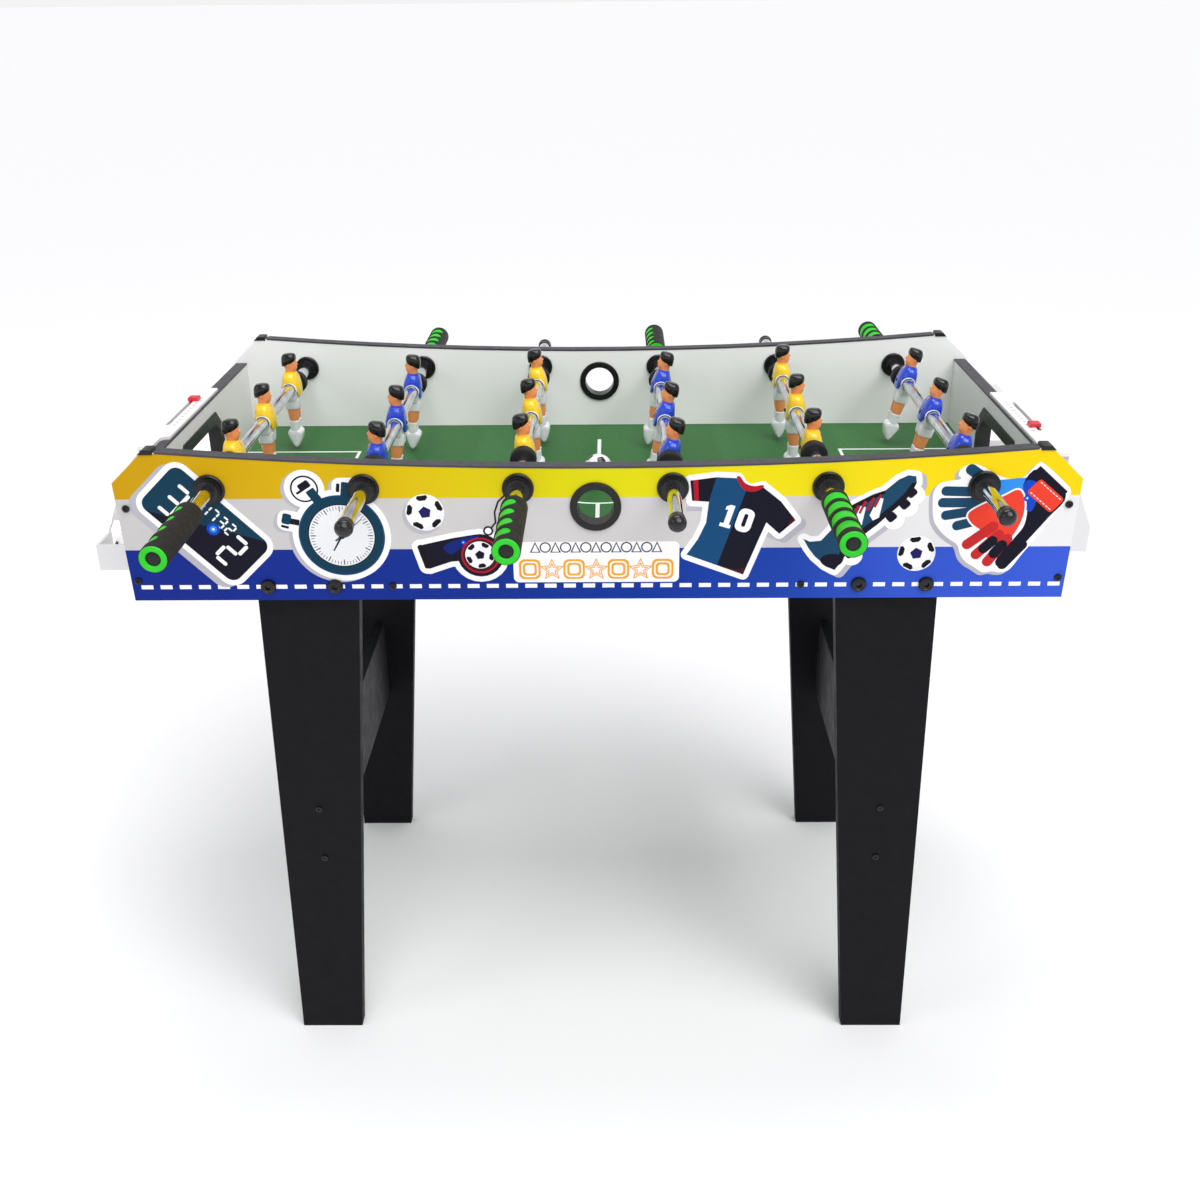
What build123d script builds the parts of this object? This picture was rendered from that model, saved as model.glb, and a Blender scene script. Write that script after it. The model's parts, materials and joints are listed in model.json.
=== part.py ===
from build123d import *
import os
from math import radians, sqrt, tan

os.makedirs("parts", exist_ok=True)

# Foosball table, in millimetres: +X along the table, +Y away from the front player, +Z up.
# The origin is on the floor, under the middle of the table.

# ---------------------------------------------------------------- driving dimensions
# Cabinet
table_height = 670.0        # top corners of the side panels
top_length = 800.0          # a side panel's top edge, between its corners
body_length = 860.0         # a side panel at the foot of its corner chamfers
base_length = 854.0         # a side panel along its bottom edge
body_width = 424.0          # over the outer faces of the side panels
end_height = 640.0          # top of the end panels
base_height = 525.0         # bottom edge of the cabinet
dip = 16.4                  # how far the top edge sags in the middle
side_thickness = 12.0
end_thickness = 12.0
end_inner = 415.0           # inner face of an end panel
field_height = 562.6        # playing surface
field_thickness = 3.0

# T-mouldings and corner caps
lip = 1.8                   # thickness of a moulding's head
lip_overhang = 0.4          # the head is wider than its panel by this on each side
barb = (1.6, 6.0)           # thickness and depth of a moulding's stem
cap_length = 14.0
cap_wall = 1.2

# Rods, bushings and men
rod_count = 6
rod_pitch = 137.5
rod_height = 633.7
rod_radius = 6.35
rod_wall = 1.0
slide_travel = 46.0         # a rod slides this far each way from centred
man_pitch = 122.0
running_gap = 0.05          # radial gap of a running fit
sleeve_radius = 8.5
housing_radius = 10.5
flange_radius = 14.2
flange_reach = 3.0          # the bushing's outer flange stands this proud of the panel
boss_radius = 11.5
boss_reach = 6.3
ring_radius = 13.5
ring_reach = 3.5
face_gap = 0.3              # between faces that turn past each other
sleeve_flange = (10.2, 1.2)  # radius and thickness
grip_radius = 11.75
grip_length = 97.0
grip_end = 365.0            # tip of the grip from the middle of a centred rod
cap_end = 299.0             # tip of the end cap from the middle of a centred rod
end_cap_radius = 8.0
end_cap_length = 20.0
bumper_radius = 12.5
bumper_thickness = 12.0
pin_radius = 1.5
pin_length = 20.0
tilts = (0, 3.5, -5, 12, 0, 14)         # degrees; a positive tilt swings the feet to -X
offsets = (-4, -14, 8, -6, 20, 4)       # where each rod stands along Y

# Ball and ball entry
ball_radius = 15.0
ball_lift = 0.3
entry_height = 616.0
entry_bore = 16.5
entry_tube = 18.5
entry_flange = 23.0
entry_flange_thickness = 2.5

# Goals, goal boxes and score plates
goal_top = 612.0
goal_half_width = 63.0
goal_chamfer = 11.0
goal_wall = 2.5
goal_flange = (12.0, 1.5)   # width and thickness
box_wall = 2.5
box_floor = 530.0
box_outer = 480.0
box_half_length = 118.0
box_top = 632.0
cup_length = 35.0
cup_top = 556.0
plate_inner = 416.5
plate_outer = 438.5
plate_thickness = 3.0
plate_length = 171.0
plate_step = 31.5           # the outer half of a plate is longer by this at the front
plate_centres = (-2.0, -35.5)           # left plate, right plate
slot_x = 430.5
slot_width = 4.0
slot_length = 96.0
pointer_length = 10.0
pointer_rests = (37.0, -69.0)

# Legs and fasteners
leg_thickness = 15.0
leg_floor = (263.7, 328.5)  # inner and outer edge at the floor
leg_base = (221.4, 316.4)   # inner and outer edge at the bottom of the cabinet
stretcher_x = 283.0
stretcher_thickness = 12.0
stretcher_z = (206.0, 306.0)
batten = (18.0, 30.0)       # width and depth
bolt_x = (240.0, 301.6)
bolt_z = 539.0
bolt_radius = 3.0
bolt_head = (7.1, 3.6)
nut_across = 10.0
nut_height = 5.0
screw_radius = 1.6
screw_head = (3.5, 2.0)
screw_length = 26.0
end_screw_x = 421.0
end_screw_z = (545.0, 616.0)
batten_screw_x = 187.0
stretcher_screw_z = (226.0, 286.0)

# ---------------------------------------------------------------- worked-out sizes
half_width = body_width / 2
inner_half = half_width - side_thickness
end_outer = end_inner + end_thickness
field_base = field_height - field_thickness
arc_radius = ((top_length / 2) ** 2 + dip ** 2) / (2 * dip)
rod_x = [(n - (rod_count - 1) / 2) * rod_pitch for n in range(rod_count)]
sleeve_inner = inner_half - ring_reach - face_gap - sleeve_flange[1]
sleeve_outer = half_width + boss_reach + face_gap + sleeve_flange[1]
bumper_face = sleeve_inner - slide_travel - 0.6


def top_edge(x):
    """Height of the sagging top edge, an arc of a large circle, at a place along it."""
    return table_height - dip + arc_radius - sqrt(arc_radius ** 2 - x ** 2)


def leg_edge(side, z):
    """Where a leg's inner (0) or outer (1) edge is at a height."""
    return leg_floor[side] + (leg_base[side] - leg_floor[side]) * z / base_height


# Places on both side panels, with the local z axis pointing out of the table
front_turn = (90, 0, 0)
rear_turn = (-90, 0, 0)


def on_both_sides(x, z):
    """The two places at x and z on the table's middle plane that face the front and the rear."""
    return [Location((x, 0, z), front_turn), Location((x, 0, z), rear_turn)]


# ---------------------------------------------------------------- side panels
def side_outline():
    """The outline of a side panel, under its top moulding."""
    with BuildSketch() as outline:
        with BuildLine():
            left_foot = (-base_length / 2, base_height)
            right_foot = (base_length / 2, base_height)
            right_waist = (body_length / 2, end_height)
            right_top = (top_length / 2, table_height - lip)
            left_top = (-top_length / 2, table_height - lip)
            left_waist = (-body_length / 2, end_height)
            Polyline(left_top, left_waist, left_foot, right_foot, right_waist, right_top)
            ThreePointArc(right_top, (0, table_height - lip - dip), left_top)
        make_face()
    return outline.sketch


def moulding_band(depth, rise):
    """A band along the top edge, from depth under the panel's edge to rise over it."""
    reach = top_length / 2 - cap_length + 2
    low = top_edge(reach) - lip - depth
    high = top_edge(reach) - lip + rise
    middle = table_height - lip - dip
    with BuildSketch() as band:
        with BuildLine():
            ThreePointArc((-reach, high), (0, middle + rise), (reach, high))
            ThreePointArc((-reach, low), (0, middle - depth), (reach, low))
            Line((-reach, low), (-reach, high))
            Line((reach, low), (reach, high))
        make_face()
    return band.sketch


side_screws = [(x * side, z) for side in (-1, 1) for x, z in
               [(end_screw_x, end_screw_z[0]), (end_screw_x, end_screw_z[1]), (batten_screw_x, bolt_z)]]
leg_bolt_places = [(x * side, bolt_z) for side in (-1, 1) for x in bolt_x]

for name, outer_plane in (("front_side_panel", Plane.XZ.offset(half_width)),
                          ("rear_side_panel", Plane.XZ.offset(-inner_half))):
    middle_plane = outer_plane.offset(-side_thickness / 2)
    with BuildPart() as side_panel:
        with BuildSketch(outer_plane):
            add(side_outline())
        extrude(amount=-side_thickness)
        with BuildSketch(middle_plane):
            add(moulding_band(barb[1], 0))
        extrude(amount=barb[0] / 2, both=True, mode=Mode.SUBTRACT)
        with BuildSketch(outer_plane):
            with Locations(*[(x, rod_height) for x in rod_x]):
                Circle(housing_radius)
            with Locations((0, entry_height)):
                Circle(entry_tube)
            with Locations(*leg_bolt_places):
                Circle(bolt_radius)
            with Locations(*side_screws):
                Circle(screw_radius)
        extrude(amount=-side_thickness, mode=Mode.SUBTRACT)
    side_panel.part.label = name
    export_step(side_panel.part, f"parts/{name}.step")

# ---------------------------------------------------------------- end panels
goal_flat = goal_half_width - goal_chamfer


def goal_outline(grow, floor):
    """A goal mouth with cut-off top corners, grown outwards, standing on a floor height."""
    side = goal_half_width + grow
    flat = goal_flat + grow * tan(radians(22.5))
    top = goal_top + grow
    shoulder = top - (side - flat)
    with BuildSketch() as mouth:
        with BuildLine():
            Polyline((-side, floor), (side, floor), (side, shoulder), (flat, top),
                     (-flat, top), (-side, shoulder), close=True)
        make_face()
    return mouth.sketch


for name, side in (("left_end_panel", -1), ("right_end_panel", 1)):
    with BuildPart() as end_panel:
        with BuildSketch(Plane.YZ.offset(side * (end_inner + end_thickness / 2))):
            with Locations((0, (base_height + end_height - lip) / 2)):
                Rectangle(2 * inner_half, end_height - lip - base_height)
            add(goal_outline(goal_wall, field_height - goal_wall), mode=Mode.SUBTRACT)
        extrude(amount=end_thickness / 2, both=True)
        with Locations((side * (end_inner + end_thickness / 2), 0, end_height - lip - barb[1] / 2)):
            Box(barb[0], 2 * inner_half, barb[1], mode=Mode.SUBTRACT)
        for z in end_screw_z:
            with Locations(*on_both_sides(side * end_screw_x, z)):
                with Locations((0, 0, half_width - screw_length / 2)):
                    Cylinder(screw_radius, screw_length, mode=Mode.SUBTRACT)
    end_panel.part.label = name
    export_step(end_panel.part, f"parts/{name}.step")

# ---------------------------------------------------------------- T-mouldings and corner caps
with BuildPart() as edge_mouldings:
    for panel_middle in (half_width - side_thickness / 2, side_thickness / 2 - half_width):
        with BuildSketch(Plane.XZ.offset(panel_middle)):
            add(moulding_band(0, lip))
        extrude(amount=side_thickness / 2 + lip_overhang, both=True)
        with BuildSketch(Plane.XZ.offset(panel_middle)):
            add(moulding_band(barb[1], 0))
        extrude(amount=barb[0] / 2, both=True)
    for side in (-1, 1):
        panel_middle = side * (end_inner + end_thickness / 2)
        with Locations((panel_middle, 0, end_height - lip / 2)):
            Box(end_thickness + 2 * lip_overhang, 2 * inner_half, lip)
        with Locations((panel_middle, 0, end_height - lip - barb[1] / 2)):
            Box(barb[0], 2 * inner_half, barb[1])
edge_mouldings.part.label = "edge_mouldings"
export_step(edge_mouldings.part, "parts/edge_mouldings.step")

with BuildPart() as corner_caps:
    cap_start = top_length / 2 - cap_length + 2
    cap_tip = top_length / 2 + 2.5
    cap_crown = table_height + 1.0
    with BuildSketch(Plane.XZ.offset(half_width - side_thickness / 2)) as cap_profile:
        with BuildLine():
            Polyline((cap_start, table_height - 6), (cap_start, cap_crown - 0.6),
                     (cap_tip - 5, cap_crown), (cap_tip, table_height - 1.5),
                     (cap_tip + 1.5, table_height - 6), close=True)
        make_face()
        fillet(cap_profile.vertices().group_by(Axis.Y)[-1], 1.5)
    extrude(amount=side_thickness / 2 + cap_wall, both=True)
    with BuildSketch(Plane.XZ.offset(half_width)):
        add(side_outline())
    extrude(amount=-side_thickness, mode=Mode.SUBTRACT)
    with BuildSketch(Plane.XZ.offset(half_width - side_thickness / 2)):
        add(moulding_band(barb[1], lip))
    extrude(amount=side_thickness, both=True, mode=Mode.SUBTRACT)
    mirror(about=Plane.YZ)
    mirror(about=Plane.XZ)
corner_caps.part.label = "corner_caps"
export_step(corner_caps.part, "parts/corner_caps.step")

# ---------------------------------------------------------------- playfield and battens
with BuildPart() as playfield:
    with Locations((0, 0, field_height - field_thickness / 2)):
        Box(2 * end_inner, 2 * inner_half, field_thickness)
playfield.part.label = "playfield"
export_step(playfield.part, "parts/playfield.step")

with BuildPart() as playfield_battens:
    batten_middle = inner_half - batten[0] / 2
    with Locations((0, batten_middle, field_base - batten[1] / 2),
                   (0, -batten_middle, field_base - batten[1] / 2)):
        Box(2 * (leg_edge(0, field_base) - 12), batten[0], batten[1])
    end_batten = end_inner - batten[0] / 2
    with Locations((end_batten, 0, field_base - batten[1] / 2),
                   (-end_batten, 0, field_base - batten[1] / 2)):
        Box(batten[0], 1.5 * inner_half, batten[1])
    for x in (-batten_screw_x, batten_screw_x):
        with Locations(*on_both_sides(x, bolt_z)):
            with Locations((0, 0, half_width - screw_length / 2)):
                Cylinder(screw_radius, screw_length, mode=Mode.SUBTRACT)
playfield_battens.part.label = "playfield_battens"
export_step(playfield_battens.part, "parts/playfield_battens.step")

# ---------------------------------------------------------------- goals and goal boxes
# A goal frame is a flange on the inner face of the end panel and a tunnel through the panel.
for name, side in (("left_goal_frame", -1), ("right_goal_frame", 1)):
    inner_plane = Plane.YZ.offset(side * end_inner)
    with BuildPart() as goal_frame:
        with BuildSketch(inner_plane):
            add(goal_outline(goal_flange[0], field_height))
            add(goal_outline(0, field_height), mode=Mode.SUBTRACT)
        extrude(amount=-side * goal_flange[1])
        with BuildSketch(inner_plane):
            add(goal_outline(goal_wall, field_height - goal_wall))
            add(goal_outline(0, field_height), mode=Mode.SUBTRACT)
        extrude(amount=side * end_thickness)
    goal_frame.part.label = name
    export_step(goal_frame.part, f"parts/{name}.step")

# A goal box is a hood over the goal with a sloping front, and a cup at one end where the ball
# can be picked up. Both boxes are the same moulding, one of them turned half a turn.
with BuildPart() as goal_box:
    with BuildSketch(Plane.XZ.offset(-box_half_length)) as hood_outside:
        with BuildLine():
            Polyline((end_outer, box_floor), (box_outer, box_floor), (box_outer, cup_top),
                     (458, 609), (443, box_top), (end_outer, box_top), close=True)
        make_face()
        fillet(hood_outside.vertices().group_by(Axis.Y)[1:-1], 5)
    extrude(amount=2 * box_half_length)
    with Locations(((end_outer + box_outer) / 2, box_half_length + cup_length / 2,
                    (box_floor + cup_top) / 2)):
        Box(box_outer - end_outer, cup_length, cup_top - box_floor)
    with BuildSketch(Plane.XZ.offset(box_wall - box_half_length)) as hood_inside:
        with BuildLine():
            Polyline((end_outer, box_floor + box_wall), (box_outer - box_wall, box_floor + box_wall),
                     (box_outer - box_wall, cup_top - 0.6), (455.8, 607.8), (441.7, box_top - box_wall),
                     (end_outer, box_top - box_wall), close=True)
        make_face()
    extrude(amount=2 * (box_half_length - box_wall), mode=Mode.SUBTRACT)
    cup_room = box_outer - end_outer - 2 * box_wall
    with Locations(((end_outer + box_outer) / 2, box_half_length + (cup_length - box_wall) / 2,
                    (box_floor + box_wall + cup_top) / 2)):
        Box(cup_room, cup_length - box_wall, cup_top - box_floor - box_wall, mode=Mode.SUBTRACT)
    with Locations(((end_outer + box_outer) / 2, box_half_length - box_wall / 2,
                    (box_floor + box_wall + cup_top + 12) / 2)):
        Box(cup_room, box_wall, cup_top + 12 - box_floor - box_wall, mode=Mode.SUBTRACT)

for name, turn in (("right_goal_box", 0), ("left_goal_box", 180)):
    with BuildPart() as placed_box:
        add(goal_box.part, rotation=(0, 0, turn))
    placed_box.part.label = name
    export_step(placed_box.part, f"parts/{name}.step")

# ---------------------------------------------------------------- score plates and pointers
# A plate lies on the top moulding and overhangs outwards, where its slot guides the pointer.
plate_middle = (plate_inner + plate_outer) / 2
for name, side, centre in (("left_score_plate", -1, plate_centres[0]),
                           ("right_score_plate", 1, plate_centres[1])):
    with BuildPart() as score_plate:
        with BuildSketch(Plane.XY.offset(end_height)) as plate_profile:
            near = centre - plate_length / 2
            far = centre + plate_length / 2
            with BuildLine():
                Polyline((side * plate_inner, far), (side * plate_outer, far),
                         (side * plate_outer, near - plate_step),
                         (side * (plate_inner + 8), near - plate_step),
                         (side * (plate_inner + 8), near), (side * plate_inner, near), close=True)
            make_face()
            fillet(plate_profile.vertices().sort_by_distance((side * (plate_inner + 8), near))[0], 6)
            with Locations((side * slot_x, centre)):
                SlotOverall(slot_length, slot_width, rotation=90, mode=Mode.SUBTRACT)
        extrude(amount=plate_thickness)
        fillet(score_plate.edges().group_by(Axis.Z)[-1].filter_by(Axis.Y).sort_by(Axis.X)[0], 1)
        fillet(score_plate.edges().group_by(Axis.Z)[-1].filter_by(Axis.Y).sort_by(Axis.X)[-1], 1)
        skirt_middle = (near - plate_step + far) / 2
        with Locations((side * (plate_outer - 1), skirt_middle, end_height - 3)):
            Box(2, plate_length + plate_step, 6)
    score_plate.part.label = name
    export_step(score_plate.part, f"parts/{name}.step")

for name, side, rest in (("left_score_pointer", -1, pointer_rests[0]),
                         ("right_score_pointer", 1, pointer_rests[1])):
    plate_top = end_height + plate_thickness
    with BuildPart() as pointer:
        with Locations((side * (slot_x - 2.2), rest, plate_top + 2.3)):
            Box(10.8, pointer_length, 4)
        fillet(pointer.edges().group_by(Axis.Z)[-1], 1.2)
        with Locations((side * slot_x, rest, end_height + plate_thickness / 2)):
            Box(slot_width - 1, pointer_length - 2, plate_thickness + 1.2)
        with Locations((side * (slot_x + 0.4), rest, end_height - 1.3)):
            Box(4.4, pointer_length - 2, 1.6)
    pointer.part.label = name
    export_step(pointer.part, f"parts/{name}.step")

# ---------------------------------------------------------------- ball entry rings
with BuildPart() as entry_ring:
    with BuildSketch(Plane.XZ) as ring_half:
        with BuildLine():
            inside = inner_half - entry_flange_thickness
            outside = half_width + entry_flange_thickness
            Polyline((entry_bore, inside), (entry_flange, inside), (entry_flange, inner_half),
                     (entry_tube, inner_half), (entry_tube, half_width), (entry_flange, half_width),
                     (entry_flange, outside), (entry_bore, outside), close=True)
        make_face()
        fillet(ring_half.vertices().group_by(Axis.X)[-1].sort_by(Axis.Y)[0], 1.2)
        fillet(ring_half.vertices().group_by(Axis.X)[-1].sort_by(Axis.Y)[-1], 1.2)
    revolve(axis=Axis.Z)

with BuildPart() as ball_entry_rings:
    with Locations(*on_both_sides(0, entry_height)):
        add(entry_ring.part)
ball_entry_rings.part.label = "ball_entry_rings"
export_step(ball_entry_rings.part, "parts/ball_entry_rings.step")

# ---------------------------------------------------------------- rod bushings
# A housing is pushed through the panel from outside and held by a ring on the inside.
rod_places = [place for x in rod_x for place in on_both_sides(x, rod_height)]

with BuildPart() as housing:
    with BuildSketch(Plane.XZ):
        with BuildLine():
            bore = sleeve_radius + running_gap
            Polyline((bore, inner_half - ring_reach), (housing_radius, inner_half - ring_reach),
                     (housing_radius, half_width), (flange_radius, half_width),
                     (flange_radius, half_width + flange_reach - 1),
                     (flange_radius - 1, half_width + flange_reach),
                     (boss_radius, half_width + flange_reach),
                     (boss_radius, half_width + boss_reach), (bore, half_width + boss_reach),
                     close=True)
        make_face()
    revolve(axis=Axis.Z)

with BuildPart() as bushing_housings:
    with Locations(*rod_places):
        add(housing.part)
bushing_housings.part.label = "bushing_housings"
export_step(bushing_housings.part, "parts/bushing_housings.step")

with BuildPart() as retaining_ring:
    with BuildSketch(Plane.XZ):
        with BuildLine():
            Polyline((housing_radius, inner_half), (ring_radius, inner_half),
                     (ring_radius, inner_half - ring_reach + 1),
                     (ring_radius - 1, inner_half - ring_reach),
                     (housing_radius, inner_half - ring_reach), close=True)
        make_face()
    revolve(axis=Axis.Z)

with BuildPart() as bushing_rings:
    with Locations(*rod_places):
        add(retaining_ring.part)
bushing_rings.part.label = "bushing_rings"
export_step(bushing_rings.part, "parts/bushing_rings.step")

with BuildPart() as sleeve:
    with BuildSketch(Plane.XZ):
        with BuildLine():
            bore = rod_radius + running_gap
            Polyline((bore, sleeve_inner), (sleeve_flange[0], sleeve_inner),
                     (sleeve_flange[0], sleeve_inner + sleeve_flange[1]),
                     (sleeve_radius, sleeve_inner + sleeve_flange[1]),
                     (sleeve_radius, sleeve_outer - sleeve_flange[1]),
                     (sleeve_flange[0], sleeve_outer - sleeve_flange[1]),
                     (sleeve_flange[0], sleeve_outer), (bore, sleeve_outer), close=True)
        make_face()
    revolve(axis=Axis.Z)

# ---------------------------------------------------------------- the man
# One moulded player with the rod's axis along Y through its origin, facing +X. Its side view
# and its front view are cut out of one block.
side_view = [(-7, 40), (6, 40), (8.5, 35), (8.5, 26), (5.5, 19.5), (6.5, 15), (10.5, 8), (12, 0),
             (10.5, -10), (8.5, -23), (7, -30), (6.5, -38), (5.5, -47), (8.5, -50), (6.5, -59),
             (1.5, -67.9), (-1.5, -67.9), (-6.5, -60), (-9, -53), (-5, -47), (-6, -38), (-8, -30),
             (-9, -23), (-10, -10), (-11, 0), (-10.5, 8), (-8, 16), (-6.5, 20), (-9, 26), (-9, 36)]
front_view = [(0, 40), (5.5, 39), (7.5, 34), (7, 24), (4.5, 20), (4.8, 18), (11, 16.5), (13.5, 12),
              (13.5, -1), (12, -10), (11, -23), (10, -38), (8, -47), (9.5, -50), (9.5, -64),
              (8, -67.9), (0, -67.9)]

with BuildPart() as man:
    with BuildSketch(Plane.XZ):
        with BuildLine():
            Polyline(*side_view, close=True)
        make_face()
    extrude(amount=14, both=True)
    with BuildSketch(Plane.YZ):
        with BuildLine():
            Polyline(*front_view, close=True)
        make_face()
        mirror(about=Plane.YZ)
    extrude(amount=14, both=True, mode=Mode.INTERSECT)
    with Locations(Rotation(90, 0, 0)):
        Cylinder(rod_radius, 30, mode=Mode.SUBTRACT)
    with Locations(Rotation(0, 90, 0)):
        Cylinder(pin_radius, pin_length, mode=Mode.SUBTRACT)

# ---------------------------------------------------------------- rods and what they carry
for n in range(rod_count):
    rod = f"rod_{n + 1}"
    grip_side = 1 if n % 2 else -1      # rods 1, 3 and 5 have their grips at the front
    facing = 180 if n % 2 else 0        # the men of rods 2, 4 and 6 face -X
    # The local z axis runs from the middle of the rod to its grip.
    rod_plane = Plane(origin=(rod_x[n], offsets[n], rod_height), x_dir=(1, 0, 0), z_dir=(0, grip_side, 0))
    men_y = [offsets[n] + k * man_pitch for k in (-1, 0, 1)]
    men_places = [Location((rod_x[n], y, rod_height), (0, tilts[n], facing)) for y in men_y]
    pin_places = [Location((rod_x[n], y, rod_height), (0, tilts[n] + 90, 0)) for y in men_y]

    with BuildPart() as bearings:
        with Locations(*on_both_sides(rod_x[n], rod_height)):
            add(sleeve.part)
    bearings.part.label = f"{rod}_bearings"
    export_step(bearings.part, f"parts/{rod}_bearings.step")

    tube_start = 8 - cap_end
    tube_end = grip_end - 8
    with BuildPart() as tube:
        with BuildSketch(rod_plane.offset(tube_start)):
            Circle(rod_radius)
            Circle(rod_radius - rod_wall, mode=Mode.SUBTRACT)
        extrude(amount=tube_end - tube_start)
        with Locations(*pin_places):
            Cylinder(pin_radius, pin_length, mode=Mode.SUBTRACT)
    tube.part.label = f"{rod}_tube"
    export_step(tube.part, f"parts/{rod}_tube.step")

    with BuildPart() as men:
        with Locations(*men_places):
            add(man.part)
    men.part.label = f"{rod}_men"
    export_step(men.part, f"parts/{rod}_men.step")

    with BuildPart() as grip:
        with BuildSketch(rod_plane.offset(grip_end - grip_length)):
            Circle(grip_radius)
        extrude(amount=grip_length)
        fillet(grip.edges(), 1.5)
        with BuildSketch(rod_plane.offset(grip_end - grip_length)):
            Circle(rod_radius)
        extrude(amount=grip_length - 8, mode=Mode.SUBTRACT)
    grip.part.label = f"{rod}_grip"
    export_step(grip.part, f"parts/{rod}_grip.step")

    # Two rubber bumpers, the end cap and the three pins that hold the men
    with BuildPart() as fittings:
        with BuildSketch(rod_plane.offset(-cap_end)):
            Circle(end_cap_radius)
        extrude(amount=end_cap_length)
        fillet(fittings.edges().sort_by(Axis.Y)[0 if grip_side > 0 else -1], end_cap_radius - 1)
        with BuildSketch(rod_plane.offset(tube_start)):
            Circle(rod_radius)
        extrude(amount=end_cap_length, mode=Mode.SUBTRACT)
        for start in (-bumper_face, bumper_face - bumper_thickness):
            with BuildSketch(rod_plane.offset(start)):
                Circle(bumper_radius)
                Circle(rod_radius, mode=Mode.SUBTRACT)
            extrude(amount=bumper_thickness)
        with Locations(*pin_places):
            Cylinder(pin_radius, pin_length)
    fittings.part.label = f"{rod}_fittings"
    export_step(fittings.part, f"parts/{rod}_fittings.step")

# ---------------------------------------------------------------- balls
spare_ball_x = -(end_outer + box_outer) / 2
spare_ball_y = -(box_half_length + cup_length - box_wall - ball_radius - 1.5)
for name, centre in (
        ("game_ball", (0, 0, field_height + ball_radius + ball_lift)),
        ("spare_ball", (spare_ball_x, spare_ball_y, box_floor + box_wall + ball_radius + ball_lift))):
    with BuildPart() as ball:
        with Locations(centre):
            Sphere(ball_radius)
    ball.part.label = name
    export_step(ball.part, f"parts/{name}.step")

# ---------------------------------------------------------------- legs and stretchers
for name, side, y_plane in (("front_left_leg", -1, inner_half), ("front_right_leg", 1, inner_half),
                            ("rear_left_leg", -1, leg_thickness - inner_half),
                            ("rear_right_leg", 1, leg_thickness - inner_half)):
    with BuildPart() as leg:
        with BuildSketch(Plane.XZ.offset(y_plane)):
            with BuildLine():
                Polyline((side * leg_floor[0], 0), (side * leg_floor[1], 0),
                         (side * leg_edge(1, field_base), field_base),
                         (side * leg_edge(0, field_base), field_base), close=True)
            make_face()
            with Locations(*[(side * x, bolt_z) for x in bolt_x]):
                Circle(bolt_radius, mode=Mode.SUBTRACT)
            with Locations(*[(side * stretcher_x, z) for z in stretcher_screw_z]):
                Circle(screw_radius, mode=Mode.SUBTRACT)
        extrude(amount=-leg_thickness)
    leg.part.label = name
    export_step(leg.part, f"parts/{name}.step")

with BuildPart() as leg_stretchers:
    stretcher_half = inner_half - leg_thickness
    with Locations(*[(side * stretcher_x, 0, sum(stretcher_z) / 2) for side in (-1, 1)]):
        Box(stretcher_thickness, 2 * stretcher_half, stretcher_z[1] - stretcher_z[0])
    for x in (-stretcher_x, stretcher_x):
        for z in stretcher_screw_z:
            with Locations(*on_both_sides(x, z)):
                with Locations((0, 0, inner_half - screw_length / 2)):
                    Cylinder(screw_radius, screw_length, mode=Mode.SUBTRACT)
leg_stretchers.part.label = "leg_stretchers"
export_step(leg_stretchers.part, "parts/leg_stretchers.step")

# ---------------------------------------------------------------- fasteners
bolt_reach = side_thickness + leg_thickness + nut_height + 1
with BuildPart() as bolt:
    with Locations((0, 0, half_width - bolt_reach / 2)):
        Cylinder(bolt_radius, bolt_reach)
    with Locations((0, 0, half_width + bolt_head[1] / 2)):
        Cylinder(bolt_head[0], bolt_head[1])
    fillet(bolt.edges().group_by(Axis.Z)[-1], 1.6)
    with BuildSketch(Plane.XY.offset(half_width + bolt_head[1])):
        RegularPolygon(2.0, 6)
    extrude(amount=-2, mode=Mode.SUBTRACT)

with BuildPart() as nut:
    with BuildSketch(Plane.XY.offset(half_width - side_thickness - leg_thickness)):
        RegularPolygon(nut_across / 2, 6, major_radius=False)
        Circle(bolt_radius, mode=Mode.SUBTRACT)
    extrude(amount=-nut_height)

leg_bolt_locations = [place for x, z in leg_bolt_places for place in on_both_sides(x, z)]
with BuildPart() as leg_bolts:
    with Locations(*leg_bolt_locations):
        add(bolt.part)
leg_bolts.part.label = "leg_bolts"
export_step(leg_bolts.part, "parts/leg_bolts.step")

with BuildPart() as leg_nuts:
    with Locations(*leg_bolt_locations):
        add(nut.part)
leg_nuts.part.label = "leg_nuts"
export_step(leg_nuts.part, "parts/leg_nuts.step")

with BuildPart() as screw:
    with Locations((0, 0, -screw_length / 2)):
        Cylinder(screw_radius, screw_length)
    with Locations((0, 0, screw_head[1] / 2)):
        Cylinder(screw_head[0], screw_head[1])
    fillet(screw.edges().group_by(Axis.Z)[-1], 0.8)

cabinet_screws = [place * Pos(0, 0, half_width) for x, z in side_screws for place in on_both_sides(x, z)]
stretcher_screws = [place * Pos(0, 0, inner_half) for x in (-stretcher_x, stretcher_x)
                    for z in stretcher_screw_z for place in on_both_sides(x, z)]
with BuildPart() as wood_screws:
    with Locations(*cabinet_screws, *stretcher_screws):
        add(screw.part)
wood_screws.part.label = "wood_screws"
export_step(wood_screws.part, "parts/wood_screws.step")
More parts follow.
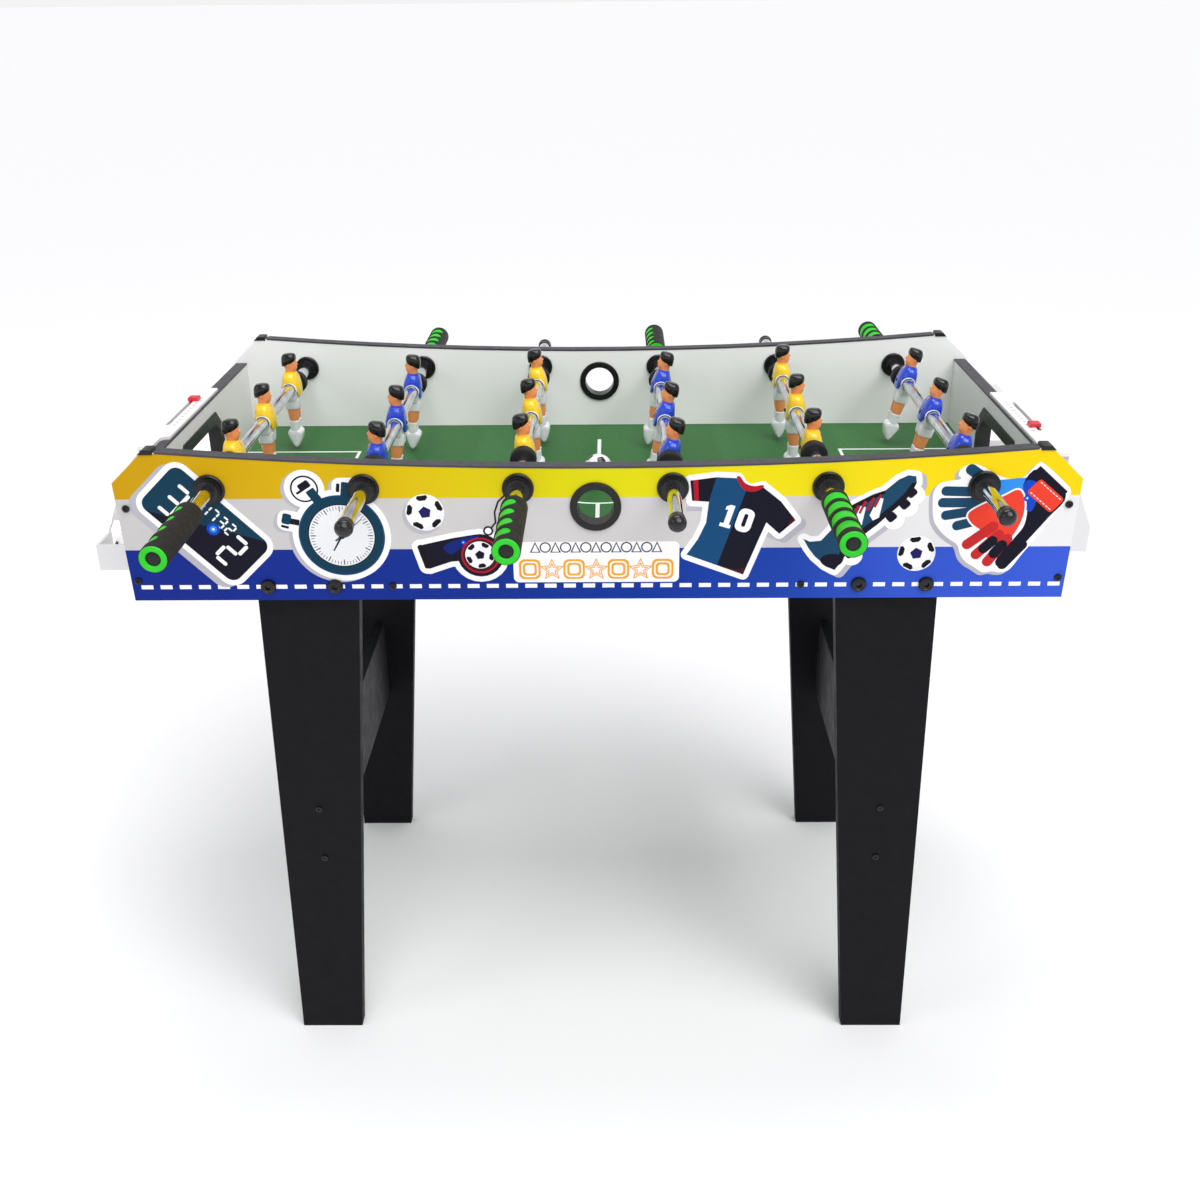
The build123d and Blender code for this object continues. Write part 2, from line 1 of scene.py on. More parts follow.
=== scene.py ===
import bpy
import bmesh
from math import atan2, ceil, copysign, cos, hypot, pi, radians, sin, sqrt
from mathutils import Matrix, Vector
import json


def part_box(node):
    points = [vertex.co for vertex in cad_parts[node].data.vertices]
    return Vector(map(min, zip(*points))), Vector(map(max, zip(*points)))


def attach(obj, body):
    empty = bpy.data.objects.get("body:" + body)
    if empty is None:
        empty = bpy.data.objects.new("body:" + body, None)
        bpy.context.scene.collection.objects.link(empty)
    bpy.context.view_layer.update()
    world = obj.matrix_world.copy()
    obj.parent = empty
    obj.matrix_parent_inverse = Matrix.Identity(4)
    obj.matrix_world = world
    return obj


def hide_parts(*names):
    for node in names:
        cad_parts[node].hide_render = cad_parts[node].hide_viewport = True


# The looks of a foosball table, in metres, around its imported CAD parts. Sizes in the men, the grips,
# the fittings, the fasteners and the printed artwork are in millimetres and are scaled by MM.

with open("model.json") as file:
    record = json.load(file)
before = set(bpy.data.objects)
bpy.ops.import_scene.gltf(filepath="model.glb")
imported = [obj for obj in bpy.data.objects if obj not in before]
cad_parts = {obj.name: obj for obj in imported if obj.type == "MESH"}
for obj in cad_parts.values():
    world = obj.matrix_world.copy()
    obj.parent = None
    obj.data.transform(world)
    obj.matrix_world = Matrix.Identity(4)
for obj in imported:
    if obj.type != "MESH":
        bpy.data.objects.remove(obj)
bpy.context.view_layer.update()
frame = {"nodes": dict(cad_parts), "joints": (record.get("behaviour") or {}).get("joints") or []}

MM = 0.001
TO_METRES = Matrix.Scale(MM, 4)
SIDES = ("left", "right")
RODS = range(1, 7)                          # odd rods carry yellow men, even ones blue
MAN_PITCH = 122 * MM
ROD_TILTS = (0, 3.5, -5, 12, 0, 14)         # degrees; a positive tilt swings the feet to -X
GRIP_TURNS = (176, 136, 160, 184, 98, 140)  # where each grip's openings face, from +X towards +Z


# ---- colours and material nodes
def srgb(red, green, blue):
    """Display values from 0 to 255 as a linear colour."""
    linear = []
    for share in (red / 255, green / 255, blue / 255):
        linear.append(share / 12.92 if share <= 0.04045 else ((share + 0.055) / 1.055) ** 2.4)
    return (*linear, 1.0)


class Finish:
    """A material and short calls that build its nodes."""

    def __init__(self, name, display, rough=0.5, metal=0.0, coat=0.0, specular=0.5):
        self.material = bpy.data.materials.new(name)
        self.material.use_nodes = True
        self.colour = srgb(*display)
        self.material.diffuse_color = self.colour
        self.nodes = self.material.node_tree.nodes
        self.links = self.material.node_tree.links
        self.shader = self.nodes["Principled BSDF"]
        for socket, value in (("Base Color", self.colour), ("Roughness", rough), ("Metallic", metal),
                              ("Coat Weight", coat), ("Specular IOR Level", specular)):
            self.shader.inputs[socket].default_value = value
        # Object coordinates, which are metres in the table's frame on every CAD part.
        self.place = self.nodes.new("ShaderNodeTexCoord").outputs["Object"]

    def node(self, kind, inputs, output=0, **settings):
        """The output of a new node whose inputs each take a value or follow another output."""
        node = self.nodes.new(f"ShaderNode{kind}")
        for name, setting in settings.items():
            setattr(node, name, setting)
        for socket, value in inputs.items():
            if isinstance(value, bpy.types.NodeSocket):
                self.links.new(value, node.inputs[socket])
            else:
                node.inputs[socket].default_value = value
        return node.outputs[output]

    def follow(self, socket, output):
        """Makes one of the shader's sockets follow an output."""
        self.links.new(output, self.shader.inputs[socket])

    def axis(self, name):
        return self.node("SeparateXYZ", {0: self.place}, name)

    def math(self, operation, first, second=0.0):
        return self.node("Math", {0: first, 1: second}, operation=operation)

    def size(self, value):
        return self.math("ABSOLUTE", value)

    def over(self, value, limit):
        return self.math("GREATER_THAN", value, limit)

    def under(self, value, limit):
        return self.math("LESS_THAN", value, limit)

    def where(self, first, *others):
        """1 where every mask is 1, 0 elsewhere."""
        for mask in others:
            first = self.math("MULTIPLY", first, mask)
        return first

    def inside(self, value, low, high):
        return self.where(self.over(value, low), self.under(value, high))

    def around(self, value, middle, reach):
        return self.inside(value, middle - reach, middle + reach)

    def noise(self, scale, detail=2.0, stretch=(1, 1, 1)):
        place = self.node("Mapping", {"Vector": self.place, "Scale": stretch})
        return self.node("TexNoise", {"Vector": place, "Scale": scale, "Detail": detail}, "Fac")

    def ramp(self, value, stops):
        """A colour for a value, from (position, colour) stops."""
        node = self.nodes.new("ShaderNodeValToRGB")
        elements = node.color_ramp.elements
        elements[0].position, elements[0].color = stops[0]
        elements[1].position, elements[1].color = stops[-1]
        for position, colour in stops[1:-1]:
            elements.new(position).color = colour
        self.links.new(value, node.inputs[0])
        return node.outputs[0]

    def spread(self, value, low, high, new_low=0.0, new_high=1.0):
        """A value taken from one range to another."""
        return self.node("MapRange", {"Value": value, "From Min": low, "From Max": high,
                                      "To Min": new_low, "To Max": new_high})

    def blend(self, share, first, second):
        """A mix of two colours."""
        return self.node("Mix", {0: share, 6: first, 7: second}, 2, data_type="RGBA")

    def mottle(self, value, low, high, dark, light):
        """Lets the material's colour go from darker to lighter as a value goes from low to high."""
        stops = [(position, (*(min(1.0, c * factor) for c in self.colour[:3]), 1.0))
                 for position, factor in ((low, dark), (high, light))]
        self.follow("Base Color", self.ramp(value, stops))

    def vary_rough(self, value, low, high):
        self.follow("Roughness", self.spread(value, 0.3, 0.7, low, high))

    def bump(self, grain, depth, strength=1.0):
        height = self.noise(grain)
        relief = self.node("Bump", {"Height": height, "Distance": depth, "Strength": strength})
        self.follow("Normal", relief)


def plastic(name, display, rough=0.35, grain=900, depth=0.00002, coat=0.0, specular=0.5):
    """Moulded plastic: faint cloudiness in its colour and a fine grain."""
    finish = Finish(name, display, rough, coat=coat, specular=specular)
    finish.mottle(finish.noise(45, 3), 0.3, 0.7, 0.88, 1.07)
    finish.vary_rough(finish.noise(160), rough - 0.06, rough + 0.08)
    finish.bump(grain, depth)
    return finish.material


def board(name, display, rough, fleck, specular=0.3):
    """Board faced with paper laminate: a fine, even, slightly mottled surface."""
    finish = Finish(name, display, rough, specular=specular)
    finish.mottle(finish.noise(700, 3), 0.35, 0.65, 1 - fleck, 1 + fleck)
    finish.vary_rough(finish.noise(60), rough - 0.05, rough + 0.1)
    finish.bump(1800, 0.00002, 0.6)
    return finish.material


def chrome():
    """Chromed tube with faint lengthwise polish and smudges."""
    finish = Finish("chrome", (214, 216, 222), 0.09, metal=1.0)
    smudges = finish.ramp(finish.noise(55, 4), [(0.35, srgb(196, 198, 206)), (0.6, srgb(226, 228, 233))])
    finish.follow("Base Color", smudges)
    finish.vary_rough(finish.noise(420, 2, (1, 0.05, 1)), 0.06, 0.15)
    return finish.material


def zinc():
    """Dull plated steel."""
    finish = Finish("zinc_steel", (186, 188, 190), 0.35, metal=1.0)
    finish.vary_rough(finish.noise(300, 3), 0.27, 0.45)
    finish.bump(900, 0.00001)
    return finish.material


# ---- printed boards
panel_low, panel_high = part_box("front_side_panel")
FACE_Y = -panel_low.y                       # outer faces of both side panels
INNER_Y = -panel_high.y                     # their inner faces
BASE_Z = panel_low.z                        # bottom edge of the cabinet
FACE_SKIN = 0.3 * MM                        # how deep the print counts as being on the outer face
BLUE_TOP = BASE_Z + 50.5 * MM
WHITE_TOP = BASE_Z + 99.7 * MM
DASH_Z = BASE_Z + 13.5 * MM
DASH_HALF = 2 * MM
DASH_LENGTH = 11 * MM
DASH_PITCH = 17.7 * MM
DASH_SHIFT = 12.2 * MM                      # from the panel's middle to the end of a dash
DASH_REACH = 424 * MM

# Colour stops from each panel's left end to its right, seen from outside. All bands get lighter towards
# the right. In the white band that change is painted shade only. In the yellow and blue bands the change
# of hue is print and the change of brightness is painted shade.
YELLOW_PRINT_AND_SHADE = [(0.0, srgb(192, 146, 4)), (0.25, srgb(208, 172, 3)), (0.5, srgb(212, 206, 8)),
           (0.72, srgb(230, 212, 14)), (1.0, srgb(244, 202, 6))]
BLUE_PRINT_AND_SHADE = [(0.0, srgb(12, 38, 130)), (0.35, srgb(11, 42, 136)), (0.55, srgb(5, 48, 142)),
         (0.7, srgb(24, 62, 162)), (0.82, srgb(46, 79, 190)), (1.0, srgb(54, 86, 203))]
WHITE_PAINTED_SHADE = [(0.0, srgb(191, 188, 188)), (0.4, srgb(196, 193, 193)), (0.74, srgb(200, 197, 198)),
          (0.86, srgb(222, 221, 222)), (1.0, srgb(224, 224, 225))]
LAMINATE = srgb(252, 251, 251)
LAMINATE_SHADE = srgb(246, 246, 246)


def printed_board(name, direction):
    """White laminate whose outer face has a yellow, a white and a blue band and a dashed line; the bands
    are darker towards the panel's left end as painted shade.
    """
    finish = Finish(name, (252, 251, 251), 0.4, specular=0.12)
    along = finish.math("MULTIPLY", finish.axis("X"), direction)
    height = finish.axis("Z")
    share = finish.spread(along, -panel_high.x, panel_high.x)
    # Each band's colour along the panel, carrying the painted shade that darkens it towards the left end.
    yellow, white, blue = (finish.ramp(share, stops) for stops in (YELLOW_PRINT_AND_SHADE, WHITE_PAINTED_SHADE, BLUE_PRINT_AND_SHADE))
    low = finish.blend(finish.over(height, BLUE_TOP), blue, white)
    bands = finish.blend(finish.over(height, WHITE_TOP), low, yellow)
    # Whole pitches are added so that the remainder is that of a positive number.
    step = finish.math("MODULO", finish.math("ADD", along, DASH_SHIFT + 100 * DASH_PITCH), DASH_PITCH)
    dash = finish.where(finish.under(step, DASH_LENGTH), finish.around(height, DASH_Z, DASH_HALF),
                        finish.under(finish.size(along), DASH_REACH))
    bands = finish.blend(dash, bands, srgb(240, 240, 243))
    plain = finish.ramp(finish.noise(9, 3), [(0.3, LAMINATE_SHADE), (0.7, LAMINATE)])
    on_face = finish.over(finish.size(finish.axis("Y")), FACE_Y - FACE_SKIN)
    finish.follow("Base Color", finish.blend(on_face, plain, bands))
    finish.vary_rough(finish.noise(40, 3), 0.3, 0.42)
    finish.bump(1400, 0.00001, 0.5)
    return finish.material


# ---- the playing field and the score plates
CIRCLE_RADIUS = 64 * MM
LINE_HALF = 1.7 * MM
HALFWAY_REACH = 143 * MM
AREA_X = 271 * MM
AREA_Y = 103 * MM
BAND_PITCH = 68 * MM
DOT_PITCH = 9.6 * MM
DOT_HALF = 1.5 * MM
SCALE_NEAR = 5 * MM                         # from a plate's inner edge to the dots
SCALE_FAR = 8.5 * MM                        # and to their far side
SCALE_REACH = 50 * MM
SLOT_TO_END = 85.5 * MM                     # from a score plate's rear end to its slot's middle


def field_lines(finish):
    """1 on the white lines: the centre circle, the halfway line's two ends and both penalty areas."""
    x = finish.size(finish.axis("X"))
    y = finish.size(finish.axis("Y"))
    squares = finish.math("ADD", finish.math("MULTIPLY", x, x), finish.math("MULTIPLY", y, y))
    lines = finish.around(finish.math("SQRT", squares), CIRCLE_RADIUS, LINE_HALF)
    for others in ((finish.under(x, LINE_HALF * 1.2), finish.inside(y, CIRCLE_RADIUS, HALFWAY_REACH)),
                   (finish.around(x, AREA_X, LINE_HALF), finish.under(y, AREA_Y + LINE_HALF)),
                   (finish.around(y, AREA_Y, LINE_HALF), finish.over(x, AREA_X))):
        lines = finish.math("MAXIMUM", lines, finish.where(*others))
    return lines


def field_print():
    """Printed green with soft mown bands along X and white lines."""
    finish = Finish("field_print", (44, 92, 46), 0.45, specular=0.18)
    wave = finish.math("SINE", finish.math("MULTIPLY", finish.axis("X"), pi / BAND_PITCH))
    green = finish.blend(finish.spread(wave, -0.25, 0.25), srgb(41, 94, 44), srgb(52, 106, 54))
    mottle = finish.ramp(finish.noise(260, 3), [(0.35, srgb(39, 90, 42)), (0.65, srgb(56, 112, 55))])
    grass = finish.blend(0.3, green, mottle)
    finish.follow("Base Color", finish.blend(field_lines(finish), grass, srgb(226, 232, 228)))
    finish.bump(1500, 0.00001)
    return finish.material


def score_print(name):
    """White plastic with a faint scale of dots beside the slot."""
    low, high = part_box(name)
    finish = Finish(name, (236, 234, 234), 0.32)
    along = finish.math("SUBTRACT", finish.axis("Y"), high.y - SLOT_TO_END)
    inner_x = min(abs(low.x), abs(high.x))
    across = finish.math("SUBTRACT", finish.size(finish.axis("X")), inner_x)
    # Half a pitch puts a dot in the middle, and whole ones keep the sum positive.
    step = finish.math("MODULO", finish.math("ADD", along, 100.5 * DOT_PITCH), DOT_PITCH)
    off = finish.size(finish.math("SUBTRACT", step, DOT_PITCH / 2))
    dots = finish.where(finish.under(off, DOT_HALF), finish.inside(across, SCALE_NEAR, SCALE_FAR),
                        finish.around(along, 0, SCALE_REACH),
                        finish.over(finish.axis("Z"), high.z - 0.2 * MM))
    finish.follow("Base Color", finish.blend(dots, finish.colour, srgb(186, 178, 184)))
    finish.vary_rough(finish.noise(90), 0.26, 0.4)
    finish.bump(900, 0.00001)
    return finish.material


HOOD_WALL = 2.5 * MM
HOOD_HALF_LENGTH = 118 * MM
HOOD_SLOPE = 0.5                            # the hood's front leans in by this much of its height
HOOD_SLOPE_LIMIT = 757 * MM
# Strength of the painted light: emission that glows inside the hood.
HOOD_PAINTED_LIGHT = 0.7


def goal_box_plastic(name):
    """White plastic in a greyer colour as painted shade, whose hood inside glows by emission as painted
    light.
    """
    low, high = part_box(name)
    # The white is painted greyer than the score plates' white plastic: painted shade on the box.
    finish = Finish(name, (214, 213, 214), 0.3)
    x = finish.size(finish.axis("X"))
    z = finish.axis("Z")
    slope = finish.math("ADD", x, finish.math("MULTIPLY", z, HOOD_SLOPE))
    half = HOOD_WALL / 2
    painted_light_room = finish.where(finish.under(x, max(abs(low.x), abs(high.x)) - half),
                        finish.under(finish.size(finish.axis("Y")), HOOD_HALF_LENGTH - half),
                        finish.inside(z, low.z + half, high.z - half),
                        finish.under(slope, HOOD_SLOPE_LIMIT))
    # Emission inside the hood is painted light that makes its inside look bright, though nothing there is
    # a lamp.
    finish.shader.inputs["Emission Color"].default_value = srgb(250, 250, 252)
    finish.follow("Emission Strength", finish.math("MULTIPLY", painted_light_room, HOOD_PAINTED_LIGHT))
    finish.bump(900, 0.00002)
    return finish.material


# ---- materials of the CAD parts
BLACK_PLASTIC = plastic("black_plastic", (20, 19, 20), 0.3, specular=0.35)

CAD_FINISHES = [
    (BLACK_PLASTIC, ["ball_entry_rings", "bushing_housings", "bushing_rings"]),
    (plastic("moulding_grey", (66, 64, 70), 0.45, 1600, 0.00003, specular=0.3), ["edge_mouldings"]),
    (plastic("goal_grey", (42, 43, 42), 0.4, specular=0.3), [f"{side}_goal_frame" for side in SIDES]),
    (plastic("red_plastic", (206, 32, 52), 0.3), [f"{side}_score_pointer" for side in SIDES]),
    (plastic("bearing_plastic", (24, 23, 26), 0.24, specular=0.4), [f"rod_{n}_bearings" for n in RODS]),
    (chrome(), [f"rod_{n}_tube" for n in RODS]),
    (zinc(), ["leg_nuts"]),
    (board("raw_board", (176, 140, 98), 0.75, 0.25), ["playfield_battens"]),
    (board("stretcher_black", (40, 40, 44), 0.5, 0.18, 0.15), ["leg_stretchers"]),
    (board("leg_black", (20, 20, 24), 0.55, 0.25, 0.1),
     ["front_left_leg", "front_right_leg", "rear_left_leg", "rear_right_leg"]),
    (board("white_board", (240, 237, 238), 0.4, 0.02), [f"{side}_end_panel" for side in SIDES]),
    (printed_board("front_print", 1.0), ["front_side_panel"]),
    (printed_board("rear_print", -1.0), ["rear_side_panel"]),
    (field_print(), ["playfield"]),
    (goal_box_plastic("left_goal_box"), ["left_goal_box"]),
    (goal_box_plastic("right_goal_box"), ["right_goal_box"]),
    (score_print("left_score_plate"), ["left_score_plate"]),
    (score_print("right_score_plate"), ["right_score_plate"]),
]


def finish_cad_parts():
    """Gives each CAD part its material in all of its slots."""
    for material, nodes in CAD_FINISHES:
        for node in nodes:
            slots = frame["nodes"][node].data.materials
            if not slots:
                slots.append(material)
            for index in range(len(slots)):
                slots[index] = material


# ---- mesh helpers
def middle_of(node):
    """The middle of a CAD part's box."""
    low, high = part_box(node)
    return (low + high) / 2


def add_object(name, data):
    made = bpy.data.objects.new(name, data)
    bpy.context.scene.collection.objects.link(made)
    return made


def mesh_from(name, bm, materials, sharp=35):
    """A mesh with smooth faces and sharp edges where it turns by more than an angle in degrees."""
    mesh = bpy.data.meshes.new(name)
    bmesh.ops.recalc_face_normals(bm, faces=bm.faces)
    bm.to_mesh(mesh)
    bm.free()
    for material in materials:
        mesh.materials.append(material)
    mesh.shade_smooth()
    mesh.set_sharp_from_angle(angle=radians(sharp))
    return mesh


def place_mesh(mesh, name, body, matrix=Matrix.Identity(4)):
    piece = add_object(name, mesh)
    piece.matrix_world = matrix
    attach(piece, body)
    return piece


def make_piece(name, bm, materials, body, sharp=35):
    return place_mesh(mesh_from(name, bm, materials, sharp), name, body)


def soften_edges(piece, width, angle):
    """A small bevel along the edges that turn by more than an angle in degrees."""
    bevel = piece.modifiers.new("soft_edges", "BEVEL")
    bevel.width = width * MM
    bevel.segments = 2
    bevel.angle_limit = radians(angle)


def superellipse(steps, centre_x, half_x, half_y, power, z):
    """Points round a level section whose corners are squarer as its power grows."""
    points = []
    for k in range(steps):
        angle = 2 * pi * k / steps
        c, s = cos(angle), sin(angle)
        x = centre_x + half_x * copysign(abs(c) ** (2 / power), c)
        y = half_y * copysign(abs(s) ** (2 / power), s)
        points.append(Vector((x, y, z)))
    return points


def add_rings(bm, rings, slot, matrix=Matrix.Identity(4), tube=False):
    """Joins rings of points into a skin, closed by a face over each end or, for a tube, on itself."""
    loops = [[bm.verts.new(matrix @ p) for p in ring] for ring in rings]
    count = len(loops[0])
    faces = []
    for low, high in zip(loops, loops[1:] + (loops[:1] if tube else [])):
        for k in range(count):
            nxt = (k + 1) % count
            faces.append(bm.faces.new((low[k], low[nxt], high[nxt], high[k])))
    if not tube:
        faces.append(bm.faces.new(loops[0][::-1]))
        faces.append(bm.faces.new(loops[-1]))
    for face in faces:
        face.material_index = slot


def add_loft(bm, sections, slot, steps=24, offset_y=0.0):
    """A closed form through level sections: height, centre x, half x, half y and power, in mm."""
    rings = [superellipse(steps, cx, hx, hy, power, z) for z, cx, hx, hy, power in sections]
    add_rings(bm, rings, slot, TO_METRES @ Matrix.Translation((0, offset_y, 0)))


def add_turned(bm, profile, slot, matrix=TO_METRES, steps=40, tube=False):
    """A turned form about the local Y axis through a profile of (radius, y) points."""
    rings = [[Vector((radius * cos(2 * pi * k / steps), y, radius * sin(2 * pi * k / steps)))
              for k in range(steps)] for radius, y in profile]
    add_rings(bm, rings, slot, matrix, tube)


def add_lump(bm, centre, radii, slot):
    """A small rounded lump in mm, such as a nose or an ear."""
    shape = TO_METRES @ Matrix.Translation(centre) @ Matrix.Diagonal((*radii, 1.0))
    made = bmesh.ops.create_uvsphere(bm, u_segments=16, v_segments=10, radius=1.0, matrix=shape)
    for face in {f for v in made["verts"] for f in v.link_faces}:
        face.material_index = slot


# ---- the men
HAIR, SKIN, KIT, SHIRT = range(4)

HEAD = [(12, 0.4, 4.4, 4.2, 2), (15, 0.3, 5.2, 5.0, 2), (18.4, 0.3, 5.4, 5.2, 2.1),
        (20.0, 1.2, 6.2, 5.5, 2.2), (22.4, 1.4, 6.8, 6.0, 2.4), (25, 0.9, 7.1, 6.4, 2.3),
        (28, 0.5, 7.3, 6.7, 2.2), (32, 0.2, 7.2, 6.8, 2.1), (35.5, 0, 6.0, 5.8, 2),
        (37.4, -0.2, 3.4, 3.4, 2)]
HAIR_CAP = [(-1.0, -0.7, 7.2, 6.8, 2.3), (-0.5, -0.6, 8.1, 7.6, 2.4), (0.6, -0.4, 8.5, 7.9, 2.5),
            (3.2, -0.3, 8.6, 8.0, 2.6), (6.0, -0.2, 8.3, 7.7, 2.6), (8.4, -0.1, 7.6, 6.9, 2.6),
            (9.8, 0.1, 6.2, 5.6, 2.4), (10.4, 0.2, 3.8, 3.6, 2.2)]
SHIRT_BELL = [(18.6, -0.2, 4.6, 4.7, 2.1), (18.5, -0.2, 6.0, 6.4, 2.2), (17.4, -0.3, 6.7, 9.6, 2.4),
              (15.2, -0.2, 7.5, 12.2, 2.6), (11.4, 0.2, 8.8, 13.3, 2.8), (5.0, 0.4, 10.1, 13.5, 3.0),
              (0.0, 0.4, 10.6, 13.5, 3.0), (-4.0, 0.3, 10.6, 13.3, 3.0), (-8.2, 0.1, 10.3, 13.0, 3.0),
              (-9.2, 0, 9.8, 12.5, 3.0), (-8.6, 0, 8.9, 11.6, 3.0)]
SHIRT_STEPS = 48
ARCH_TOP = 9.0                              # the hem arches this high over the rod
ARCH_FOOT = -8.8                            # and comes down to here beside it
ARCH_HALF = 9.0
ARCH_START = 0.62                           # share of the half width where the arch begins
HIPS = [(7.6, 0, 6.6, 11.6, 3.0), (0, 0, 8.2, 12.6, 3.2), (-6, 0, 8.2, 12.5, 3.2),
        (-12, -0.2, 8.0, 11.9, 3.2), (-16, -0.3, 7.4, 10.8, 3.0)]
SHORTS_LEG = [(-8.0, -0.2, 8.2, 6.2, 2.8), (-14.0, -0.4, 8.3, 6.1, 2.8), (-20.0, -0.5, 7.9, 5.8, 2.8),
              (-22.6, -0.6, 7.7, 5.7, 2.8), (-23.2, -0.6, 7.1, 5.2, 2.8), (-22.6, -0.6, 6.2, 4.6, 2.4)]
KNEE = [(-19.0, -0.5, 5.9, 4.8, 2.4), (-24.0, -0.5, 6.1, 4.8, 2.4), (-30.0, -0.2, 5.8, 4.6, 2.4),
        (-35.0, 0, 5.2, 4.3, 2.3), (-39.0, 0, 4.6, 4.0, 2.3)]
SOCK = [(-36.4, 0, 4.4, 3.8, 2.3), (-36.8, 0, 5.5, 4.7, 2.3), (-38.4, 0, 5.7, 4.9, 2.3),
        (-39.8, 0, 5.2, 4.6, 2.3), (-44.0, -0.2, 5.3, 4.7, 2.4), (-48.0, -0.1, 4.8, 4.4, 2.4),
        (-51.0, 0, 5.0, 4.4, 2.4)]
FOOT = [(-46.4, -0.2, 5.0, 8.0, 3), (-48.6, -0.3, 7.4, 9.2, 3.4), (-50.6, -0.4, 8.8, 9.5, 3.8),
        (-53.0, -0.6, 8.6, 9.5, 4.0), (-58.0, -0.2, 7.2, 9.5, 4.0), (-63.0, 0.1, 4.9, 9.3, 3.6),
        (-66.4, 0.0, 2.8, 8.9, 3.0), (-67.8, 0, 1.3, 8.3, 2.6)]
HUB = [(6.45, -14.1), (7.7, -14.1), (8.2, -13.6), (8.2, 13.6), (7.7, 14.1), (6.45, 14.1)]
LEG_SPREAD = 4.7
HAIR_TILT = 21                              # degrees at its lower edge, less towards its flat top
HAIR_LEVELLING = 1.9                        # degrees of tilt lost in each mm of height
HAIR_HEIGHT = 28.0
COLLAR = [(18.0, 2.6, 3.6, 3.6, 1.7), (15.8, 4.6, 3.4, 2.6, 1.6), (12.6, 7.2, 2.2, 0.8, 1.6)]


def add_shirt(bm):
    """The shirt, whose hem arches over the rod on both sides."""
    rings = []
    for z, cx, hx, hy, power in SHIRT_BELL:
        ring = superellipse(SHIRT_STEPS, cx, hx, hy, power, z)
        for point in ring:
            aside = min(1.0, max(0.0, (abs(point.y) / hy - ARCH_START) / 0.3))
            near = sqrt(max(0.0, 1 - (point.x / ARCH_HALF) ** 2))
            arch = ARCH_TOP * near + ARCH_FOOT * (1 - near)
            lifted = max(point.z, arch - 0.025 * (5.0 - z))
            point.z += (lifted - point.z) * aside * min(1.0, near * 4)
        rings.append(ring)
    add_rings(bm, rings, SHIRT, TO_METRES)


def add_hair(bm):
    """Short hair, low at the back, with a flat top."""
    rings = []
    for z, cx, hx, hy, power in HAIR_CAP:
        tilt = Matrix.Rotation(-radians(HAIR_TILT - HAIR_LEVELLING * z), 4, "Y")
        ring = superellipse(24, cx, hx, hy, power, 0.0)
        rings.append([tilt @ point + Vector((0, 0, HAIR_HEIGHT + z)) for point in ring])
    add_rings(bm, rings, HAIR, TO_METRES)


def man_mesh(kind, shirt):
    """One moulded player with the rod's axis along Y through the origin, facing +X."""
    materials = [
        plastic(f"{kind}_hair", (9, 8, 9), 0.13, 300, 0.00008, 0.3, 0.4),
        plastic(f"{kind}_skin", (255, 158, 96), 0.34, coat=0.2),
        plastic(f"{kind}_kit", (240, 241, 244), 0.28, coat=0.2),
        plastic(f"{kind}_shirt", shirt, 0.22, coat=0.5),
    ]
    bm = bmesh.new()
    add_loft(bm, HEAD, SKIN)
    add_lump(bm, (7.7, 0, 26.2), (1.6, 1.3, 1.9), SKIN)
    add_lump(bm, (7.2, 0, 22.8), (1.2, 2.0, 0.8), SKIN)
    for side in (-1, 1):
        add_lump(bm, (-0.4, side * 6.6, 26.4), (1.5, 0.9, 2.1), SKIN)
        add_lump(bm, (6.0, side * 2.9, 29.0), (1.2, 2.0, 0.8), SKIN)
        add_lump(bm, (2.0, side * 7.4, 10.6), (6.6, 3.6, 4.6), SHIRT)
        for sections, slot in ((SHORTS_LEG, KIT), (KNEE, SKIN), (SOCK, KIT)):
            add_loft(bm, sections, slot, offset_y=side * LEG_SPREAD)
    add_hair(bm)
    add_shirt(bm)
    add_loft(bm, HIPS, KIT)
    add_loft(bm, COLLAR, SKIN, steps=12)
    add_loft(bm, FOOT, KIT)
    add_turned(bm, HUB, KIT, tube=True)
    return mesh_from(f"{kind}_man", bm, materials, 48)


def make_men():
    """Three men on each rod, rounded by one level of subdivision."""
    yellow = man_mesh("yellow", (255, 208, 14))
    blue = man_mesh("blue", (6, 62, 198))
    for n in RODS:
        mesh, facing = (yellow, 0) if n % 2 else (blue, pi)
        rod = middle_of(f"rod_{n}_tube")
        middle_y = middle_of(f"rod_{n}_men").y
        turn = Matrix.Rotation(radians(ROD_TILTS[n - 1]), 4, "Y") @ Matrix.Rotation(facing, 4, "Z")
        for k in (-1, 0, 1):
            place = Matrix.Translation((rod.x, middle_y + k * MAN_PITCH, rod.z)) @ turn
            man = place_mesh(mesh, f"rod_{n}_man_{k + 2}", f"rod_{n}", place)
            modifier = man.modifiers.new("smooth", "SUBSURF")
            modifier.levels = 1
            modifier.render_levels = 1
            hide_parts(f"rod_{n}_men")


